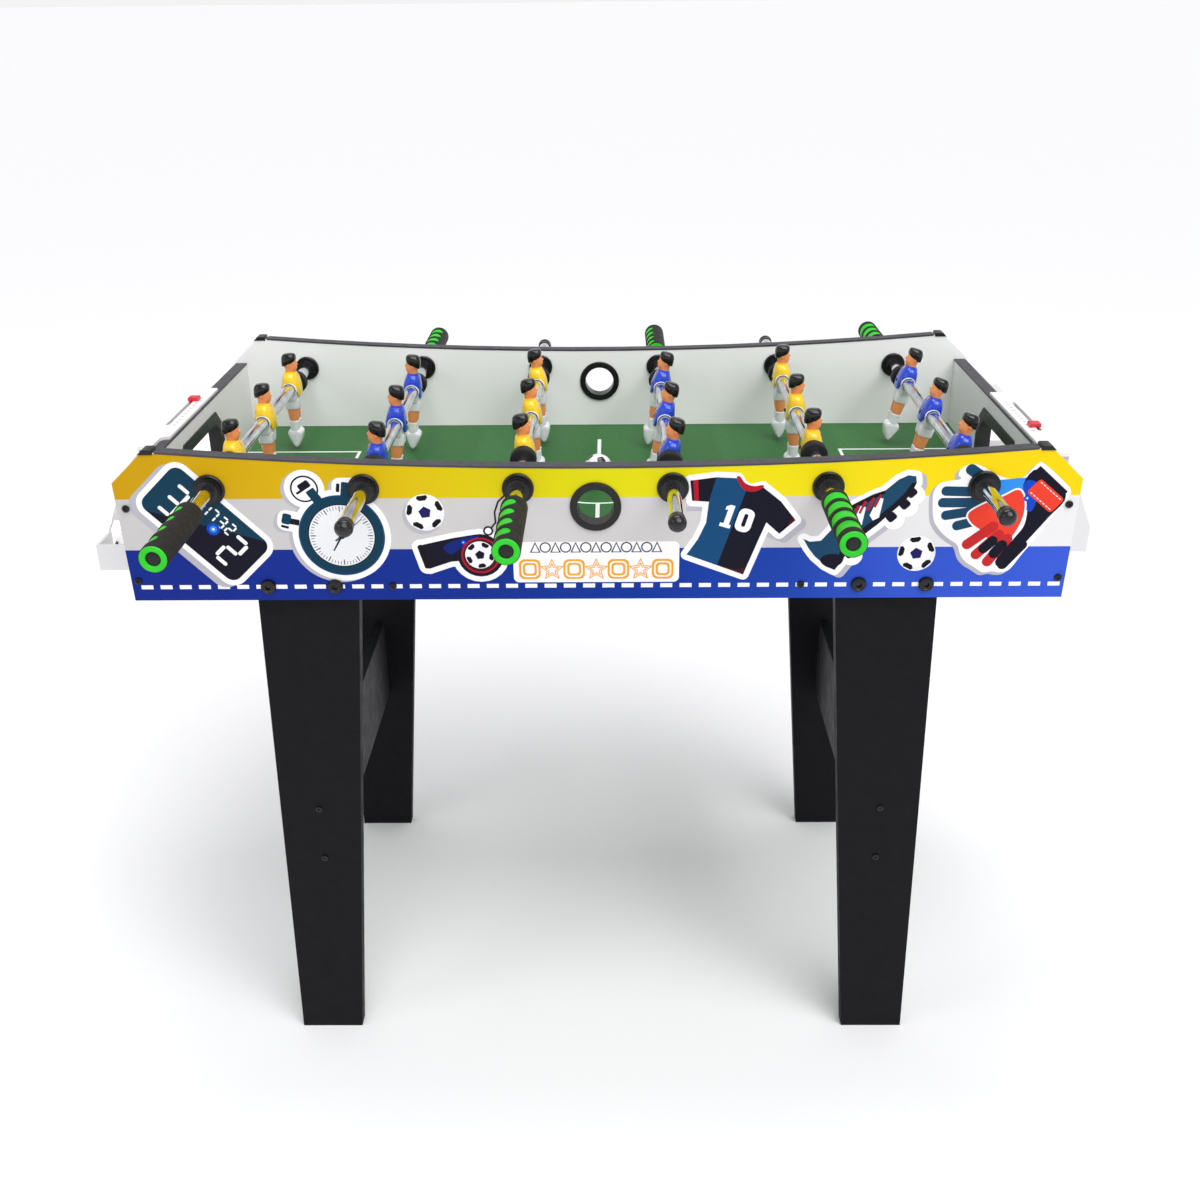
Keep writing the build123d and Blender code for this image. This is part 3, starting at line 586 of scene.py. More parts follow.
# ---- grips
GRIP_RADIUS = 11.75
CORE_RADIUS = 10.8
FACE_RADIUS = 11.1
GRIP_LENGTH = 97
SHELL_WALL = 1.2
SHELL_STEPS = 96
OPENINGS = 4
OPENING_PITCH = 21.6
OPENING_HALF = 7.8
OPENING_REACH = radians(86)
FIRST_OPENING = 14.8
PLUG = [(5.8, 60.0), (5.8, GRIP_LENGTH - 1.6), (4.9, GRIP_LENGTH - 1.0), (2.0, GRIP_LENGTH - 0.8)]
CORE = [(6.45, 0.3), (FACE_RADIUS - 0.5, 0.0), (FACE_RADIUS, 0.5), (FACE_RADIUS, 2.4),
        (CORE_RADIUS, 3.0), (CORE_RADIUS, GRIP_LENGTH - 3.0), (FACE_RADIUS, GRIP_LENGTH - 2.4),
        (FACE_RADIUS, GRIP_LENGTH - 0.7), (FACE_RADIUS - 0.7, GRIP_LENGTH), (6.9, GRIP_LENGTH),
        (6.2, GRIP_LENGTH - 0.6), (6.0, GRIP_LENGTH - 2.4)]


def edge_share(angle):
    """An opening's half width as a share: full, rounded off at the ends, then full in the palm side."""
    end_angle = OPENING_HALF / GRIP_RADIUS
    past = (abs(angle) - (OPENING_REACH - end_angle)) / end_angle
    if past <= 0:
        return 1.0
    if past < 1:
        return sqrt(1 - past * past)
    return 0.05 if abs(angle) - OPENING_REACH < 2.2 * pi / SHELL_STEPS else 1.0


def add_shell(bm, facing, matrix):
    """The black shell: rings round the whole grip joined by a solid palm side, of real thickness."""
    rows = [(0.7, 0.0)]
    for k in range(OPENINGS):
        middle = FIRST_OPENING + k * OPENING_PITCH
        rows += [(middle, -OPENING_HALF), (middle, OPENING_HALF)]
    rows.append((GRIP_LENGTH - 0.8, 0.0))
    loops = []
    for middle, half in rows:
        ring = []
        for k in range(SHELL_STEPS):
            angle = 2 * pi * k / SHELL_STEPS - pi
            y = middle + half * edge_share(angle)
            a = angle + facing
            ring.append(bm.verts.new(matrix @ Vector((GRIP_RADIUS * cos(a), y, GRIP_RADIUS * sin(a)))))
        loops.append(ring)
    for row, (near, far) in enumerate(zip(loops, loops[1:])):
        for k in range(SHELL_STEPS):
            nxt = (k + 1) % SHELL_STEPS
            opening = row % 2 and abs(2 * pi * (k + 0.5) / SHELL_STEPS - pi) < OPENING_REACH
            if not opening:
                bm.faces.new((near[k], far[k], far[nxt], near[nxt]))
    bmesh.ops.recalc_face_normals(bm, faces=bm.faces)
    bmesh.ops.solidify(bm, geom=bm.faces[:], thickness=SHELL_WALL * MM)


def make_grips():
    green = plastic("grip_green", (36, 196, 32), 0.42, 700, 0.00003, specular=0.35)
    black = plastic("grip_black", (34, 31, 30), 0.6, 1500, 0.00005, specular=0.2)
    plug = plastic("grip_plug", (22, 21, 23), 0.35, specular=0.35)
    for n in RODS:
        low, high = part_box(f"rod_{n}_grip")
        centre = (low + high) / 2
        outward, start_y = (1, low.y) if centre.y > 0 else (-1, high.y)
        place = Matrix.Translation((centre.x, start_y, centre.z)) @ TO_METRES
        place = place @ Matrix.Diagonal((1, outward, 1, 1))
        bm = bmesh.new()
        add_shell(bm, radians(GRIP_TURNS[n - 1]), place)
        shell = make_piece(f"rod_{n}_grip_shell", bm, [black], f"rod_{n}", 40)
        soften_edges(shell, 0.3, 50)
        bm = bmesh.new()
        add_turned(bm, CORE, 0, place, 64)
        add_turned(bm, PLUG, 1, place)
        core = make_piece(f"rod_{n}_grip_core", bm, [green, plug], f"rod_{n}")
        for piece in (shell, core):
            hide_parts(f"rod_{n}_grip")


# ---- bumpers, end caps and pins
BUMPER = [(6.5, 0.0), (10.6, 0.0), (12.1, 0.8), (12.5, 2.2), (12.5, 3.4), (11.7, 4.0), (11.7, 4.6),
          (12.5, 5.2), (12.5, 6.8), (11.7, 7.4), (11.7, 8.0), (12.5, 8.6), (12.5, 9.8), (12.1, 11.2),
          (10.6, 12.0), (6.5, 12.0)]
BUMPER_LENGTH = 12
BUMPER_PLAY = 0.6 * MM
SLEEVE_PROUD = 5.0 * MM                     # how far ring and sleeve stand in from a side panel
CAP_BALL = 8.0
CAP = ([(6.4, 16.0), (7.0, 16.0), (7.3, 15.6), (7.3, 12.8), (6.9, 12.3)]
       + [(CAP_BALL * cos(radians(a)), CAP_BALL - CAP_BALL * sin(radians(a)))
          for a in range(-27, 86, 14)] + [(1.2, 0.05)])
CAP_TO_MIDDLE = 299                         # from a cap's tip to the middle between its rod's bumpers
PIN = [(0.4, -10.6), (1.4, -10.9), (1.8, -10.5), (1.8, -9), (1.5, -8.6), (1.5, 9.4), (1.9, 9.6),
       (1.9, 11.0), (1.4, 11.4), (0.4, 11.1)]


def bumper_reach(n):
    """How far a rod's bumpers reach from its middle, in mm, given the sleeves and the travel."""
    low, high = next(j["range_m"] for j in frame["joints"] if j["name"] == f"rod_{n}_slide")
    return (INNER_Y - SLEEVE_PROUD - (high - low) / 2 - BUMPER_PLAY) / MM


def make_fittings():
    rubber = plastic("black_rubber", (26, 24, 25), 0.48, 1400, 0.00004, specular=0.3)
    cap_black = plastic("cap_black", (18, 18, 20), 0.22, 500, coat=0.2, specular=0.4)
    for n in RODS:
        low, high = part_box(f"rod_{n}_fittings")
        rod = middle_of(f"rod_{n}_tube")
        tip_y, inward = (high.y, -1) if n % 2 else (low.y, 1)
        centre_y = tip_y / MM + inward * CAP_TO_MIDDLE
        axis = Matrix.Translation((rod.x, 0, rod.z)) @ TO_METRES
        bm = bmesh.new()
        flip = Matrix.Translation((0, tip_y / MM, 0)) @ Matrix.Diagonal((1, inward, 1, 1))
        add_turned(bm, CAP, 1, axis @ flip)
        reach = bumper_reach(n)
        for start in (-reach, reach - BUMPER_LENGTH):
            add_turned(bm, BUMPER, 0, axis @ Matrix.Translation((0, centre_y + start, 0)), 48)
        tilt = Matrix.Rotation(radians(ROD_TILTS[n - 1]), 4, "Y") @ Matrix.Rotation(pi / 2, 4, "Z")
        for k in (-1, 0, 1):
            pin_y = (middle_of(f"rod_{n}_men").y + k * MAN_PITCH) / MM
            add_turned(bm, PIN, 2, axis @ Matrix.Translation((0, pin_y, 0)) @ tilt, 16)
        piece = make_piece(f"rod_{n}_fittings_look", bm, [rubber, cap_black, BLACK_PLASTIC], f"rod_{n}")
        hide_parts(f"rod_{n}_fittings")


# ---- screws and bolts
CROSS = [(1.9, -0.45), (1.9, 0.45), (0.45, 0.45), (0.45, 1.9), (-0.45, 1.9), (-0.45, 0.45), (-1.9, 0.45),
         (-1.9, -0.45), (-0.45, -0.45), (-0.45, -1.9), (0.45, -1.9), (0.45, -0.45)]
HEXAGON = [(cos(pi * k / 6) * reach, sin(pi * k / 6) * reach)
           for k, reach in zip(range(12), (2.75, 2.38) * 6)]
SCREW = [(1.6, 0.0), (3.3, 0.0), (3.5, 0.3), (3.5, 0.9), (3.25, 1.45), (2.6, 1.85)]
BOLT = [(3.0, 0.0), (6.9, 0.0), (7.1, 0.3), (7.1, 2.0), (6.5, 3.1), (5.6, 3.55), (4.9, 3.55),
        (4.4, 3.15)]
SPIN_STEP = 37                              # degrees from one driving recess to the next head's


def solids_of(node):
    """The lowest and highest corners of each separate solid of a CAD part."""
    mesh = frame["nodes"][node].data
    parent = {}

    def root(key):
        while parent.setdefault(key, key) != key:
            key = parent[key]
        return key

    keys = [tuple(round(c, 6) for c in v.co) for v in mesh.vertices]
    for edge in mesh.edges:
        first, second = (root(keys[v]) for v in edge.vertices)
        parent[first] = second
    groups = {}
    for key in sorted(set(keys)):
        groups.setdefault(root(key), []).append(Vector(key))
    return [(Vector(min(p[i] for p in points) for i in range(3)),
             Vector(max(p[i] for p in points) for i in range(3))) for points in groups.values()]


def add_fastener(bm, profile, recess, depth, length, place):
    """A round head with a driving recess in it, on a plain shank."""
    steps = 2 * len(recess)
    loops = []
    for radius, z in [(profile[0][0], profile[0][1] - length)] + profile:
        loops.append([bm.verts.new(place @ Vector((radius * cos(2 * pi * (k - 1.5) / steps),
                                                   radius * sin(2 * pi * (k - 1.5) / steps), z)))
                      for k in range(steps)])
    for low, high in zip(loops, loops[1:]):
        for k in range(steps):
            nxt = (k + 1) % steps
            bm.faces.new((low[k], low[nxt], high[nxt], high[k]))
    bm.faces.new(loops[0][::-1])
    top_z = profile[-1][1]
    mouth = [bm.verts.new(place @ Vector((x, y, top_z + 0.1))) for x, y in recess]
    floor = [bm.verts.new(place @ Vector((x * 0.8, y * 0.8, top_z - depth))) for x, y in recess]
    edge = loops[-1]
    for j in range(len(recess)):
        nxt = (j + 1) % len(recess)
        bm.faces.new((edge[2 * j], edge[2 * j + 1], mouth[j]))
        bm.faces.new((edge[2 * j + 1], edge[(2 * j + 2) % steps], mouth[nxt], mouth[j]))
        bm.faces.new((mouth[j], mouth[nxt], floor[nxt], floor[j]))
    bm.faces.new(floor)


def make_fasteners():
    black = plastic("bolt_black", (9, 9, 10), 0.14, depth=0.00001, specular=0.4)
    for node, profile, recess, depth, head in (("wood_screws", SCREW, CROSS, 1.0, 1.9),
                                               ("leg_bolts", BOLT, HEXAGON, 1.9, 3.6)):
        bm = bmesh.new()
        for k, (low, high) in enumerate(solids_of(node)):
            outward, tip_y = (1, high.y) if low.y + high.y > 0 else (-1, low.y)
            seat = Matrix.Translation(((low.x + high.x) / 2, tip_y - outward * head * MM,
                                       (low.z + high.z) / 2))
            spin = Matrix.Rotation(radians(SPIN_STEP * k), 4, "Z")
            place = seat @ Matrix.Rotation(-outward * pi / 2, 4, "X") @ spin @ TO_METRES
            add_fastener(bm, profile, recess, depth, (high.y - low.y) / MM - head, place)
        piece = make_piece(f"{node}_look", bm, [black], "cabinet", 30)
        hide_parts(node)


# ---- corner caps
CAP_DROP = 1.8 * MM                         # how far a cap comes down over the side panel
CAP_LAP = 1.0 * MM                          # and how far it reaches past the panel's inner face


def make_corner_caps():
    """Low black caps over the four top corners, each with a rounded crown and a bevelled rim."""
    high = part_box("corner_caps")[1]
    rim = panel_high.z - CAP_DROP
    outline = [(0.6, rim), (2.4, panel_high.z - 0.4 * MM), (5.0, high.z - 0.2 * MM), (6.5, high.z),
               (12.6, high.z), (14.0, high.z - 0.5 * MM), (14.4, rim)]
    bm = bmesh.new()
    for x_side in (-1, 1):
        for y_side in (-1, 1):
            add_rings(bm, [[Vector((x_side * (high.x - x * MM), y_side * y, z)) for x, z in outline]
                           for y in (INNER_Y - CAP_LAP, high.y)], 0)
    piece = make_piece("corner_caps_look", bm, [BLACK_PLASTIC], "cabinet", 30)
    soften_edges(piece, 0.5, 30)
    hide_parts("corner_caps")


# ---- balls
def football(name, node, turn):
    """A ball of twelve dark pentagons and twenty white hexagons with sunken seams."""
    low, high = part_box(node)
    centre = (low + high) / 2
    radius = (high.x - low.x) / 2
    bm = bmesh.new()
    layer = bm.verts.layers.float.new("sink")
    bmesh.ops.create_icosphere(bm, subdivisions=1, radius=radius)
    bmesh.ops.bevel(bm, geom=bm.verts[:], offset=100 / 3, offset_type="PERCENT", affect="VERTICES",
                    segments=1)
    for face in bm.faces:
        face.material_index = 1 if len(face.verts) == 5 else 0
    inset = bmesh.ops.inset_individual(bm, faces=bm.faces[:], thickness=0.35 * MM, depth=0.0)
    seams = set(inset["faces"])
    edge_points = {v for v in bm.verts if all(f in seams for f in v.link_faces)}
    bmesh.ops.poke(bm, faces=[f for f in bm.faces if f not in seams])
    for v in edge_points:
        v[layer] = 1.0
    bmesh.ops.subdivide_edges(bm, edges=bm.edges[:], cuts=3, use_grid_fill=True)
    for v in bm.verts:
        v.co = v.co.normalized() * (radius - 0.3 * MM * v[layer])
    bmesh.ops.transform(bm, matrix=Matrix.Translation(centre) @ turn, verts=bm.verts)
    white = plastic(f"{name}_white", (240, 236, 238), 0.22, coat=0.4)
    black = plastic(f"{name}_black", (28, 24, 30), 0.25, coat=0.4)
    piece = make_piece(name, bm, [white, black], node, 180)
    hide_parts(node)


def make_balls():
    football("game_football", "game_ball", Matrix.Rotation(radians(38), 4, (1, 0.35, 0.2)))
    football("spare_football", "spare_ball", Matrix.Rotation(radians(20), 4, "X"))


# ---- flat outlines for the artwork
def turned(points, degrees, centre):
    """Points turned anticlockwise about their own origin and moved to a centre."""
    c, s = cos(radians(degrees)), sin(radians(degrees))
    return [(centre[0] + x * c - y * s, centre[1] + x * s + y * c) for x, y in points]


def disc(centre, radius, count=48):
    return [(centre[0] + radius * cos(2 * pi * k / count), centre[1] + radius * sin(2 * pi * k / count))
            for k in range(count)]


def block(width, height, degrees=0.0, centre=(0, 0), corner=0.0):
    """A rectangle, with round corners if asked for."""
    half_w, half_h = width / 2 - corner, height / 2 - corner
    points = []
    for quarter, (x, y) in enumerate([(half_w, half_h), (-half_w, half_h), (-half_w, -half_h),
                                      (half_w, -half_h)]):
        for k in range(7 if corner else 1):
            angle = pi / 2 * (quarter + k / 6)
            points.append((x + corner * cos(angle), y + corner * sin(angle)))
    return turned(points, degrees, centre)


def curved(points, steps=5):
    """A smooth closed curve through points."""
    result = []
    count = len(points)
    for i in range(count):
        p0, p1, p2, p3 = (Vector(points[(i + k) % count]) for k in (-1, 0, 1, 2))
        for k in range(steps):
            t = k / steps
            result.append(tuple(0.5 * (2 * p1 + (p2 - p0) * t + (2 * p0 - 5 * p1 + 4 * p2 - p3) * t ** 2
                                       + (3 * p1 - p0 - 3 * p2 + p3) * t ** 3)))
    return result


def area_of(points):
    return sum(a[0] * b[1] - b[0] * a[1] for a, b in zip(points, points[1:] + points[:1])) / 2


def grown(points, by):
    """An outline pushed outwards, with round outer corners."""
    if area_of(points) < 0:
        points = points[::-1]
    result = []
    count = len(points)
    for i in range(count):
        before, here, after = (Vector(points[(i + k) % count]) for k in (-1, 0, 1))
        first, second = (here - before).normalized(), (after - here).normalized()
        out_1, out_2 = Vector((first.y, -first.x)), Vector((second.y, -second.x))
        turn = atan2(first.x * second.y - first.y * second.x, first.dot(second))
        if turn > 0:
            start = atan2(out_1.y, out_1.x)
            parts = max(1, ceil(turn / 0.4))
            for k in range(parts + 1):
                angle = start + turn * k / parts
                result.append(tuple(here + by * Vector((cos(angle), sin(angle)))))
        else:
            middle = (out_1 + out_2).normalized()
            result.append(tuple(here + middle * by / max(0.5, middle.dot(out_1))))
    return result


def moved(points, x, y):
    return [(px + x, py + y) for px, py in points]


# ---- inks
INKS = {                                    # display values
    "white": (240, 239, 241),
    "shadow": (176, 175, 184),
    "navy": (15, 14, 32),
    "teal": (10, 54, 76),
    "deep_blue": (14, 68, 112),
    "sea": (22, 66, 96),
    "glow": (14, 66, 186),
    "bright": (48, 138, 226),
    "red": (172, 18, 38),
    "coral": (226, 62, 44),
    "brick": (190, 38, 40),
    "orange": (232, 158, 42),
    "black": (14, 12, 18),
    "grey": (70, 72, 84),
    "dial": (228, 229, 232),
    "wine": (66, 10, 30),
    "dusk": (10, 34, 112),
    "indigo": (26, 24, 92),
}
INK_NAMES = list(INKS)
LAYER = 0.05        # mm between one printed layer and the next
ORDER = 20          # shapes of one layer before their heights repeat


def ink_material(name, display):
    """Satin print: the same sheen as the laminate, with a faint dot screen."""
    finish = Finish(f"ink_{name}", display, 0.45, specular=0.12)
    finish.mottle(finish.noise(900), 0.35, 0.65, 0.96, 1.03)
    finish.vary_rough(finish.noise(40, 3), 0.3, 0.42)
    return finish.material


class Print:
    """Flat printed shapes on a side panel, in mm from its middle and its bottom edge."""

    def __init__(self):
        self.bm = bmesh.new()
        self.count = 0

    def shape(self, outline, ink, level):
        """A thin solid whose top is at a level of the print, and a hair apart from its neighbours'."""
        if area_of(outline) < 0:
            outline = outline[::-1]
        self.count += 1
        height = (level + 1 + self.count % ORDER / ORDER) * LAYER
        base, top = [], []
        for x, z in outline:
            base.append(self.bm.verts.new((x * MM, 0.0, z * MM)))
            top.append(self.bm.verts.new((x * MM, -height * MM, z * MM)))
        slot = INK_NAMES.index(ink)
        faces = [self.bm.faces.new(top), self.bm.faces.new(base[::-1])]
        for i in range(len(top)):
            nxt = (i + 1) % len(top)
            faces.append(self.bm.faces.new((base[i], base[nxt], top[nxt], top[i])))
        for face in faces:
            face.material_index = slot

    def sticker(self, outline, ink, border=5.0, drop=(-4, -4)):
        """A shape with a white border round it and a grey drop shadow under that."""
        edge = grown(outline, border)
        if drop:
            self.shape(moved(edge, *drop), "shadow", 0)
        self.shape(edge, "white", 1)
        self.shape(outline, ink, 2)


# ---- the artwork, left to right
SEGMENTS = {"top": (0, 1, 0), "middle": (0, 0, 0), "bottom": (0, -1, 0), "upper_left": (-1, 0.5, 90),
            "upper_right": (1, 0.5, 90), "lower_left": (-1, -0.5, 90), "lower_right": (1, -0.5, 90)}
DIGITS = {1: ("upper_right", "lower_right"),
          2: ("top", "upper_right", "middle", "lower_left", "bottom"),
          3: ("top", "upper_right", "middle", "lower_right", "bottom"),
          7: ("top", "upper_right", "lower_right")}


def draw_digit(art, digit, centre, half_width, half_height, thickness, degrees, ink="white"):
    """A seven-segment digit."""
    for name in DIGITS[digit]:
        x, y, turn = SEGMENTS[name]
        length = (2 * half_width if turn == 0 else half_height) - thickness * 0.7
        segment = block(length, thickness, turn, (x * half_width, y * half_height), thickness * 0.45)
        art.shape(turned(segment, degrees, centre), ink, 5)


def draw_glow(art, centre, radius):
    """A soft spot of light, as three discs."""
    art.shape(disc(centre, radius, 32), "glow", 6)
    art.shape(disc(centre, radius * 0.55, 24), "bright", 7)
    art.shape(disc(centre, radius * 0.2, 16), "white", 8)


def draw_scoreboard(art):
    centre, tilt = (-352, 75), -46
    outline = block(110, 54, tilt, centre, 9)
    art.sticker(outline, "navy", 5.2, (-7, -2))
    above_slant = [(x, z) for x, z in outline if z > 88 - (x + 406) * 0.28]
    art.shape(above_slant, "teal", 3)
    draw_digit(art, 3, (-377, 99), 7.2, 14.6, 3.6, tilt)
    draw_digit(art, 2, (-331, 50), 7.2, 14.6, 3.6, tilt)
    for digit, x, z in ((1, -12, 6.5), (7, -3.5, 6.5), (3, 6.5, 6.5), (2, 16, 6.5), (1, -12, -10)):
        spot = turned([(x, z)], tilt, (-345.5, 77.5))[0]
        draw_digit(art, digit, spot, 2.9, 5.6, 1.7, tilt)
    draw_glow(art, (-345, 71), 6)


def draw_stopwatch(art):
    centre = (-229.5, 64)
    crown = (-259, 109)
    parts = [disc(centre, 39, 72), disc(crown, 12.6), block(13, 24, 28, (-253, 103), 3),
             block(9, 16, 80, (-273, 78), 2), block(16, 10, 0, (-221, 109), 2)]
    for part in parts:
        art.shape(moved(grown(part, 5.4), -3.4, -1.6), "shadow", 0)
    for part in parts:
        art.shape(grown(part, 5.4), "white", 1)
    art.shape(disc(crown, 12.6), "navy", 2)
    art.shape(disc(crown, 11.0), "white", 3)
    art.shape(block(8.6, 17, 33, (-250, 101), 1), "teal", 4)
    art.shape(block(11, 7, 33, (-259, 112), 1.5), "navy", 4)
    art.shape(block(8, 2.2, 33, (-263, 106.5), 0.8), "navy", 4)
    art.shape(block(13, 5.6, -12, (-273, 78), 0.8), "navy", 4)
    art.shape(block(8, 10, -15, (-278, 80.5), 2), "teal", 5)
    art.shape(block(7, 2.2, -15, (-280, 73), 0.8), "navy", 5)
    art.shape(block(9, 14, -8, (-222, 108), 1.5), "teal", 4)
    art.shape(block(3, 8, -8, (-229, 110), 0.8), "navy", 5)
    art.shape(disc(centre, 39, 96), "deep_blue", 3)
    art.shape(disc(centre, 37.6, 96), "teal", 4)
    art.shape(disc(centre, 30.4, 96), "navy", 5)
    art.shape(disc(centre, 29.5, 96), "dial", 6)
    for k in range(60):
        long_tick = k % 5 == 0
        length = 5.0 if long_tick else 3.2
        tick = block(0.9 if long_tick else 0.5, length, 0, (0, 28.4 - length / 2))
        art.shape(turned(tick, 6 * k, centre), "navy", 7)
    art.shape(turned([(-0.8, -8), (0.8, -8), (0.35, 25), (-0.35, 25)], -50, centre), "grey", 8)
    art.shape(turned([(-1.1, -5), (1.1, -5), (0.6, 17), (-0.6, 17)], 150, centre), "navy", 8)
    art.shape(disc(centre, 3.2, 24), "navy", 9)


def pentagon(centre, radius):
    """A ball's middle patch, turned a little."""
    points = [(radius * sin(2 * pi * k / 5), radius * cos(2 * pi * k / 5)) for k in range(5)]
    return turned(points, 8, centre)


def draw_football(art, centre, radius, drop=(-2.5, -3)):
    """A printed football: a pentagon in the middle and five cut off by the edge."""
    if drop:
        art.shape(moved(disc(centre, radius + 0.6, 56), *drop), "shadow", 0)
    art.shape(disc(centre, radius, 56), "white", 1)
    for across, up, size, ink, level in ((0.12, -0.1, 0.86, "dial", 2), (-0.06, 0.06, 0.84, "white", 3)):
        shifted = (centre[0] + radius * across, centre[1] + radius * up)
        art.shape(disc(shifted, radius * size, 48), ink, level)
    art.shape(pentagon(centre, radius * 0.34), "indigo", 4)
    patch = [(-0.30, 0.80), (-0.16, 0.66), (0.16, 0.66), (0.30, 0.80), (0.24, 0.93), (-0.24, 0.93)]
    for k in range(5):
        art.shape(turned([(x * radius, y * radius) for x, y in patch], 72 * k + 8, centre), "black", 4)


def bar(start, end, extra, width, corner):
    """A bar from one point to another, longer than their distance by an extra length."""
    (x0, z0), (x1, z1) = start, end
    tilt = atan2(z1 - z0, x1 - x0) * 180 / pi
    length = hypot(x1 - x0, z1 - z0) + extra
    return block(length, width, tilt, ((x0 + x1) / 2, (z0 + z1) / 2), corner)


def draw_whistle(art):
    chamber = (-105, 44)
    body = [(-160, 53), (-156, 55), (-130, 61)] + [
        (chamber[0] + 21 * cos(radians(a)), chamber[1] + 21 * sin(radians(a)))
        for a in range(105, -166, -15)] + [(-132, 38), (-152, 31), (-155, 32)]
    art.sticker(body, "navy", 5.2, None)
    art.shape(grown(block(5, 24, 16, (-156.5, 43), 2), 5.2), "white", 1)
    art.shape(block(5.4, 24, 16, (-156.5, 43), 2), "black", 3)
    art.shape(curved([(-138, 53), (-122, 61), (-106, 63), (-112, 58), (-124, 50), (-132, 45)]), "dusk", 3)
    art.shape(disc(chamber, 17.6), "red", 4)
    art.shape(disc(chamber, 15.8), "wine", 5)
    draw_glow(art, (-120, 57), 2.2)
    ball = (chamber[0] - 0.5, chamber[1] + 0.5)
    art.shape(disc(ball, 13.4), "white", 6)
    art.shape(pentagon(ball, 4.6), "navy", 7)
    patch = [(-3.6, 10.6), (-2.0, 8.6), (2.0, 8.6), (3.6, 10.6), (3.0, 12.6), (-3.0, 12.6)]
    for k in range(5):
        art.shape(turned(patch, 72 * k + 44, ball), "navy", 7)
    art.shape(disc((-97, 68), 4.6, 28), "navy", 4)
    art.shape(disc((-97, 68), 3.0, 28), "white", 5)
    cord = [(-94, 71), (-90, 76), (-90.5, 86), (-87, 96), (-80, 103)]
    for start, end in zip(cord, cord[1:]):
        art.shape(bar(start, end, 1.4, 1.5, 0.7), "navy", 4)


def draw_banner(art):
    """A white plate with plain rows of shapes where a title would be."""
    art.shape(block(151, 40, 0, (0, 37), 5), "white", 1)
    for k in range(-6, 7):
        centre = (k * 9.2, 51.5)
        if k % 2:
            art.shape(disc(centre, 5.2, 32), "grey", 2)
            art.shape(disc(centre, 3.9, 32), "white", 3)
        else:
            art.shape(turned([(-5, -5), (5, -5), (0, 5.6)], 0, centre), "grey", 2)
            art.shape(turned([(-3.2, -4.1), (3.2, -4.1), (0, 3.4)], 0, centre), "white", 3)
    for k in range(-3, 4):
        centre = (k * 20.2, 30)
        for step, radius in enumerate((10.4, 8.2, 6.7, 4.5)):
            ink = "white" if step % 2 else "orange"
            shape = block(radius * 1.9, radius * 1.9, 0, centre, radius * 0.5) if k % 2 else \
                star((centre[0], centre[1] - 0.6), radius * 1.12)
            art.shape(shape, ink, 2 + step)


def star(centre, radius):
    """A five-pointed star."""
    points = []
    for k in range(10):
        reach = radius if k % 2 == 0 else radius * 0.46
        points.append((reach * sin(pi * k / 5), reach * cos(pi * k / 5)))
    return turned(points[::-1], 0, centre)


def draw_shirt(art):
    body = [(84, 115), (107, 118), (126, 117), (129, 111), (137, 106), (148, 109), (165, 95),
            (179, 77), (165, 64), (153, 75), (148, 62), (134, 24), (82, 44), (92, 59), (99, 75), (101, 95),
            (86, 96)]
    art.shape(moved(grown([(150, 70), (165, 64), (179, 77), (165, 90)], 5.4), 4.5, -3.5), "shadow", 0)
    art.shape(moved(block(14, 4, 0, (90, 91)), -2, -3), "shadow", 0)
    art.sticker(body, "navy", 5.2, None)
    art.shape(body[1:4] + [(134, 106), (110, 33.5)] + body[12:16], "deep_blue", 3)
    art.shape([(86.5, 115.3), (91, 115.8), (92, 96), (88, 96)], "red", 3)
    art.shape([(165, 64), (168.5, 67.2), (176, 81), (179, 77)], "wine", 3)
    art.shape(curved([(125, 118), (128, 118.5), (133, 112), (141, 109.5), (148, 110.5), (149, 108.5),
                      (142, 104.5), (134, 105), (128.5, 110)], 3), "red", 4)
    one = [(-5.5, -11), (4.5, -11), (4.5, -7.6), (2.7, -7.6), (2.7, 11), (-1.4, 11), (-4.8, 8.6),
           (-4.8, 5.2), (-2.4, 6.2), (-2.4, -7.6), (-5.5, -7.6)]
    art.shape(turned(one, -17, (119, 81)), "white", 4)
    art.shape(block(14.5, 22.5, -17, (133.5, 77), 5.8), "white", 4)
    art.shape(block(3.6, 12.5, -17, (133.5, 77), 1.6), "navy", 5)
    art.shape([(110, 33.5), (134, 24), (136.5, 31), (128, 29)], "wine", 4)


def draw_boot(art):
    outline = [(187, 59), (193, 56), (203, 57), (212, 68), (220, 84), (232, 92), (246, 100), (256, 104),
               (268, 115), (276, 119), (283, 118), (284, 112), (281, 104), (276, 96), (266, 86),
               (252, 72), (238, 60), (228, 48), (224, 38), (217, 28), (208, 33), (198, 42), (192, 50)]
    studs = [(281, 103), (276, 92), (265, 80), (230, 45)]
    for x, z in studs:
        art.shape(disc((x + 2, z - 3), 9.5, 24), "white", 1)
    art.sticker(outline, "sea", 5.2, (4.5, -2.4))
    sole = [(213, 30), (220, 44), (234, 64), (250, 78), (264, 91), (274, 102), (280, 112)]
    art.shape(outline[11:20] + sole, "navy", 3)
    for x, z in studs:
        art.shape(block(8.2, 9.0, -45, (x - 0.6, z - 0.4), 2.4), "navy", 3)
    art.shape(curved([(204, 36), (213, 30), (222, 34), (224, 40), (216, 44), (206, 42)]), "navy", 4)
    for x, z in ((251, 88), (236, 80)):
        stripe = [(-2.2, 10), (2.6, 10), (4.4, -8), (0, -12), (-4.4, -8)]
        art.shape(turned(stripe, -14, (x, z)), "white", 4)
    art.shape([(228, 91), (246, 101), (257, 105), (257, 102), (247, 97), (229, 87)], "black", 4)
    for x, z in ((232, 85), (238, 89), (245, 92), (251, 95)):
        art.shape(block(2.2, 13, -22, (x, z), 0.8), "red", 5)


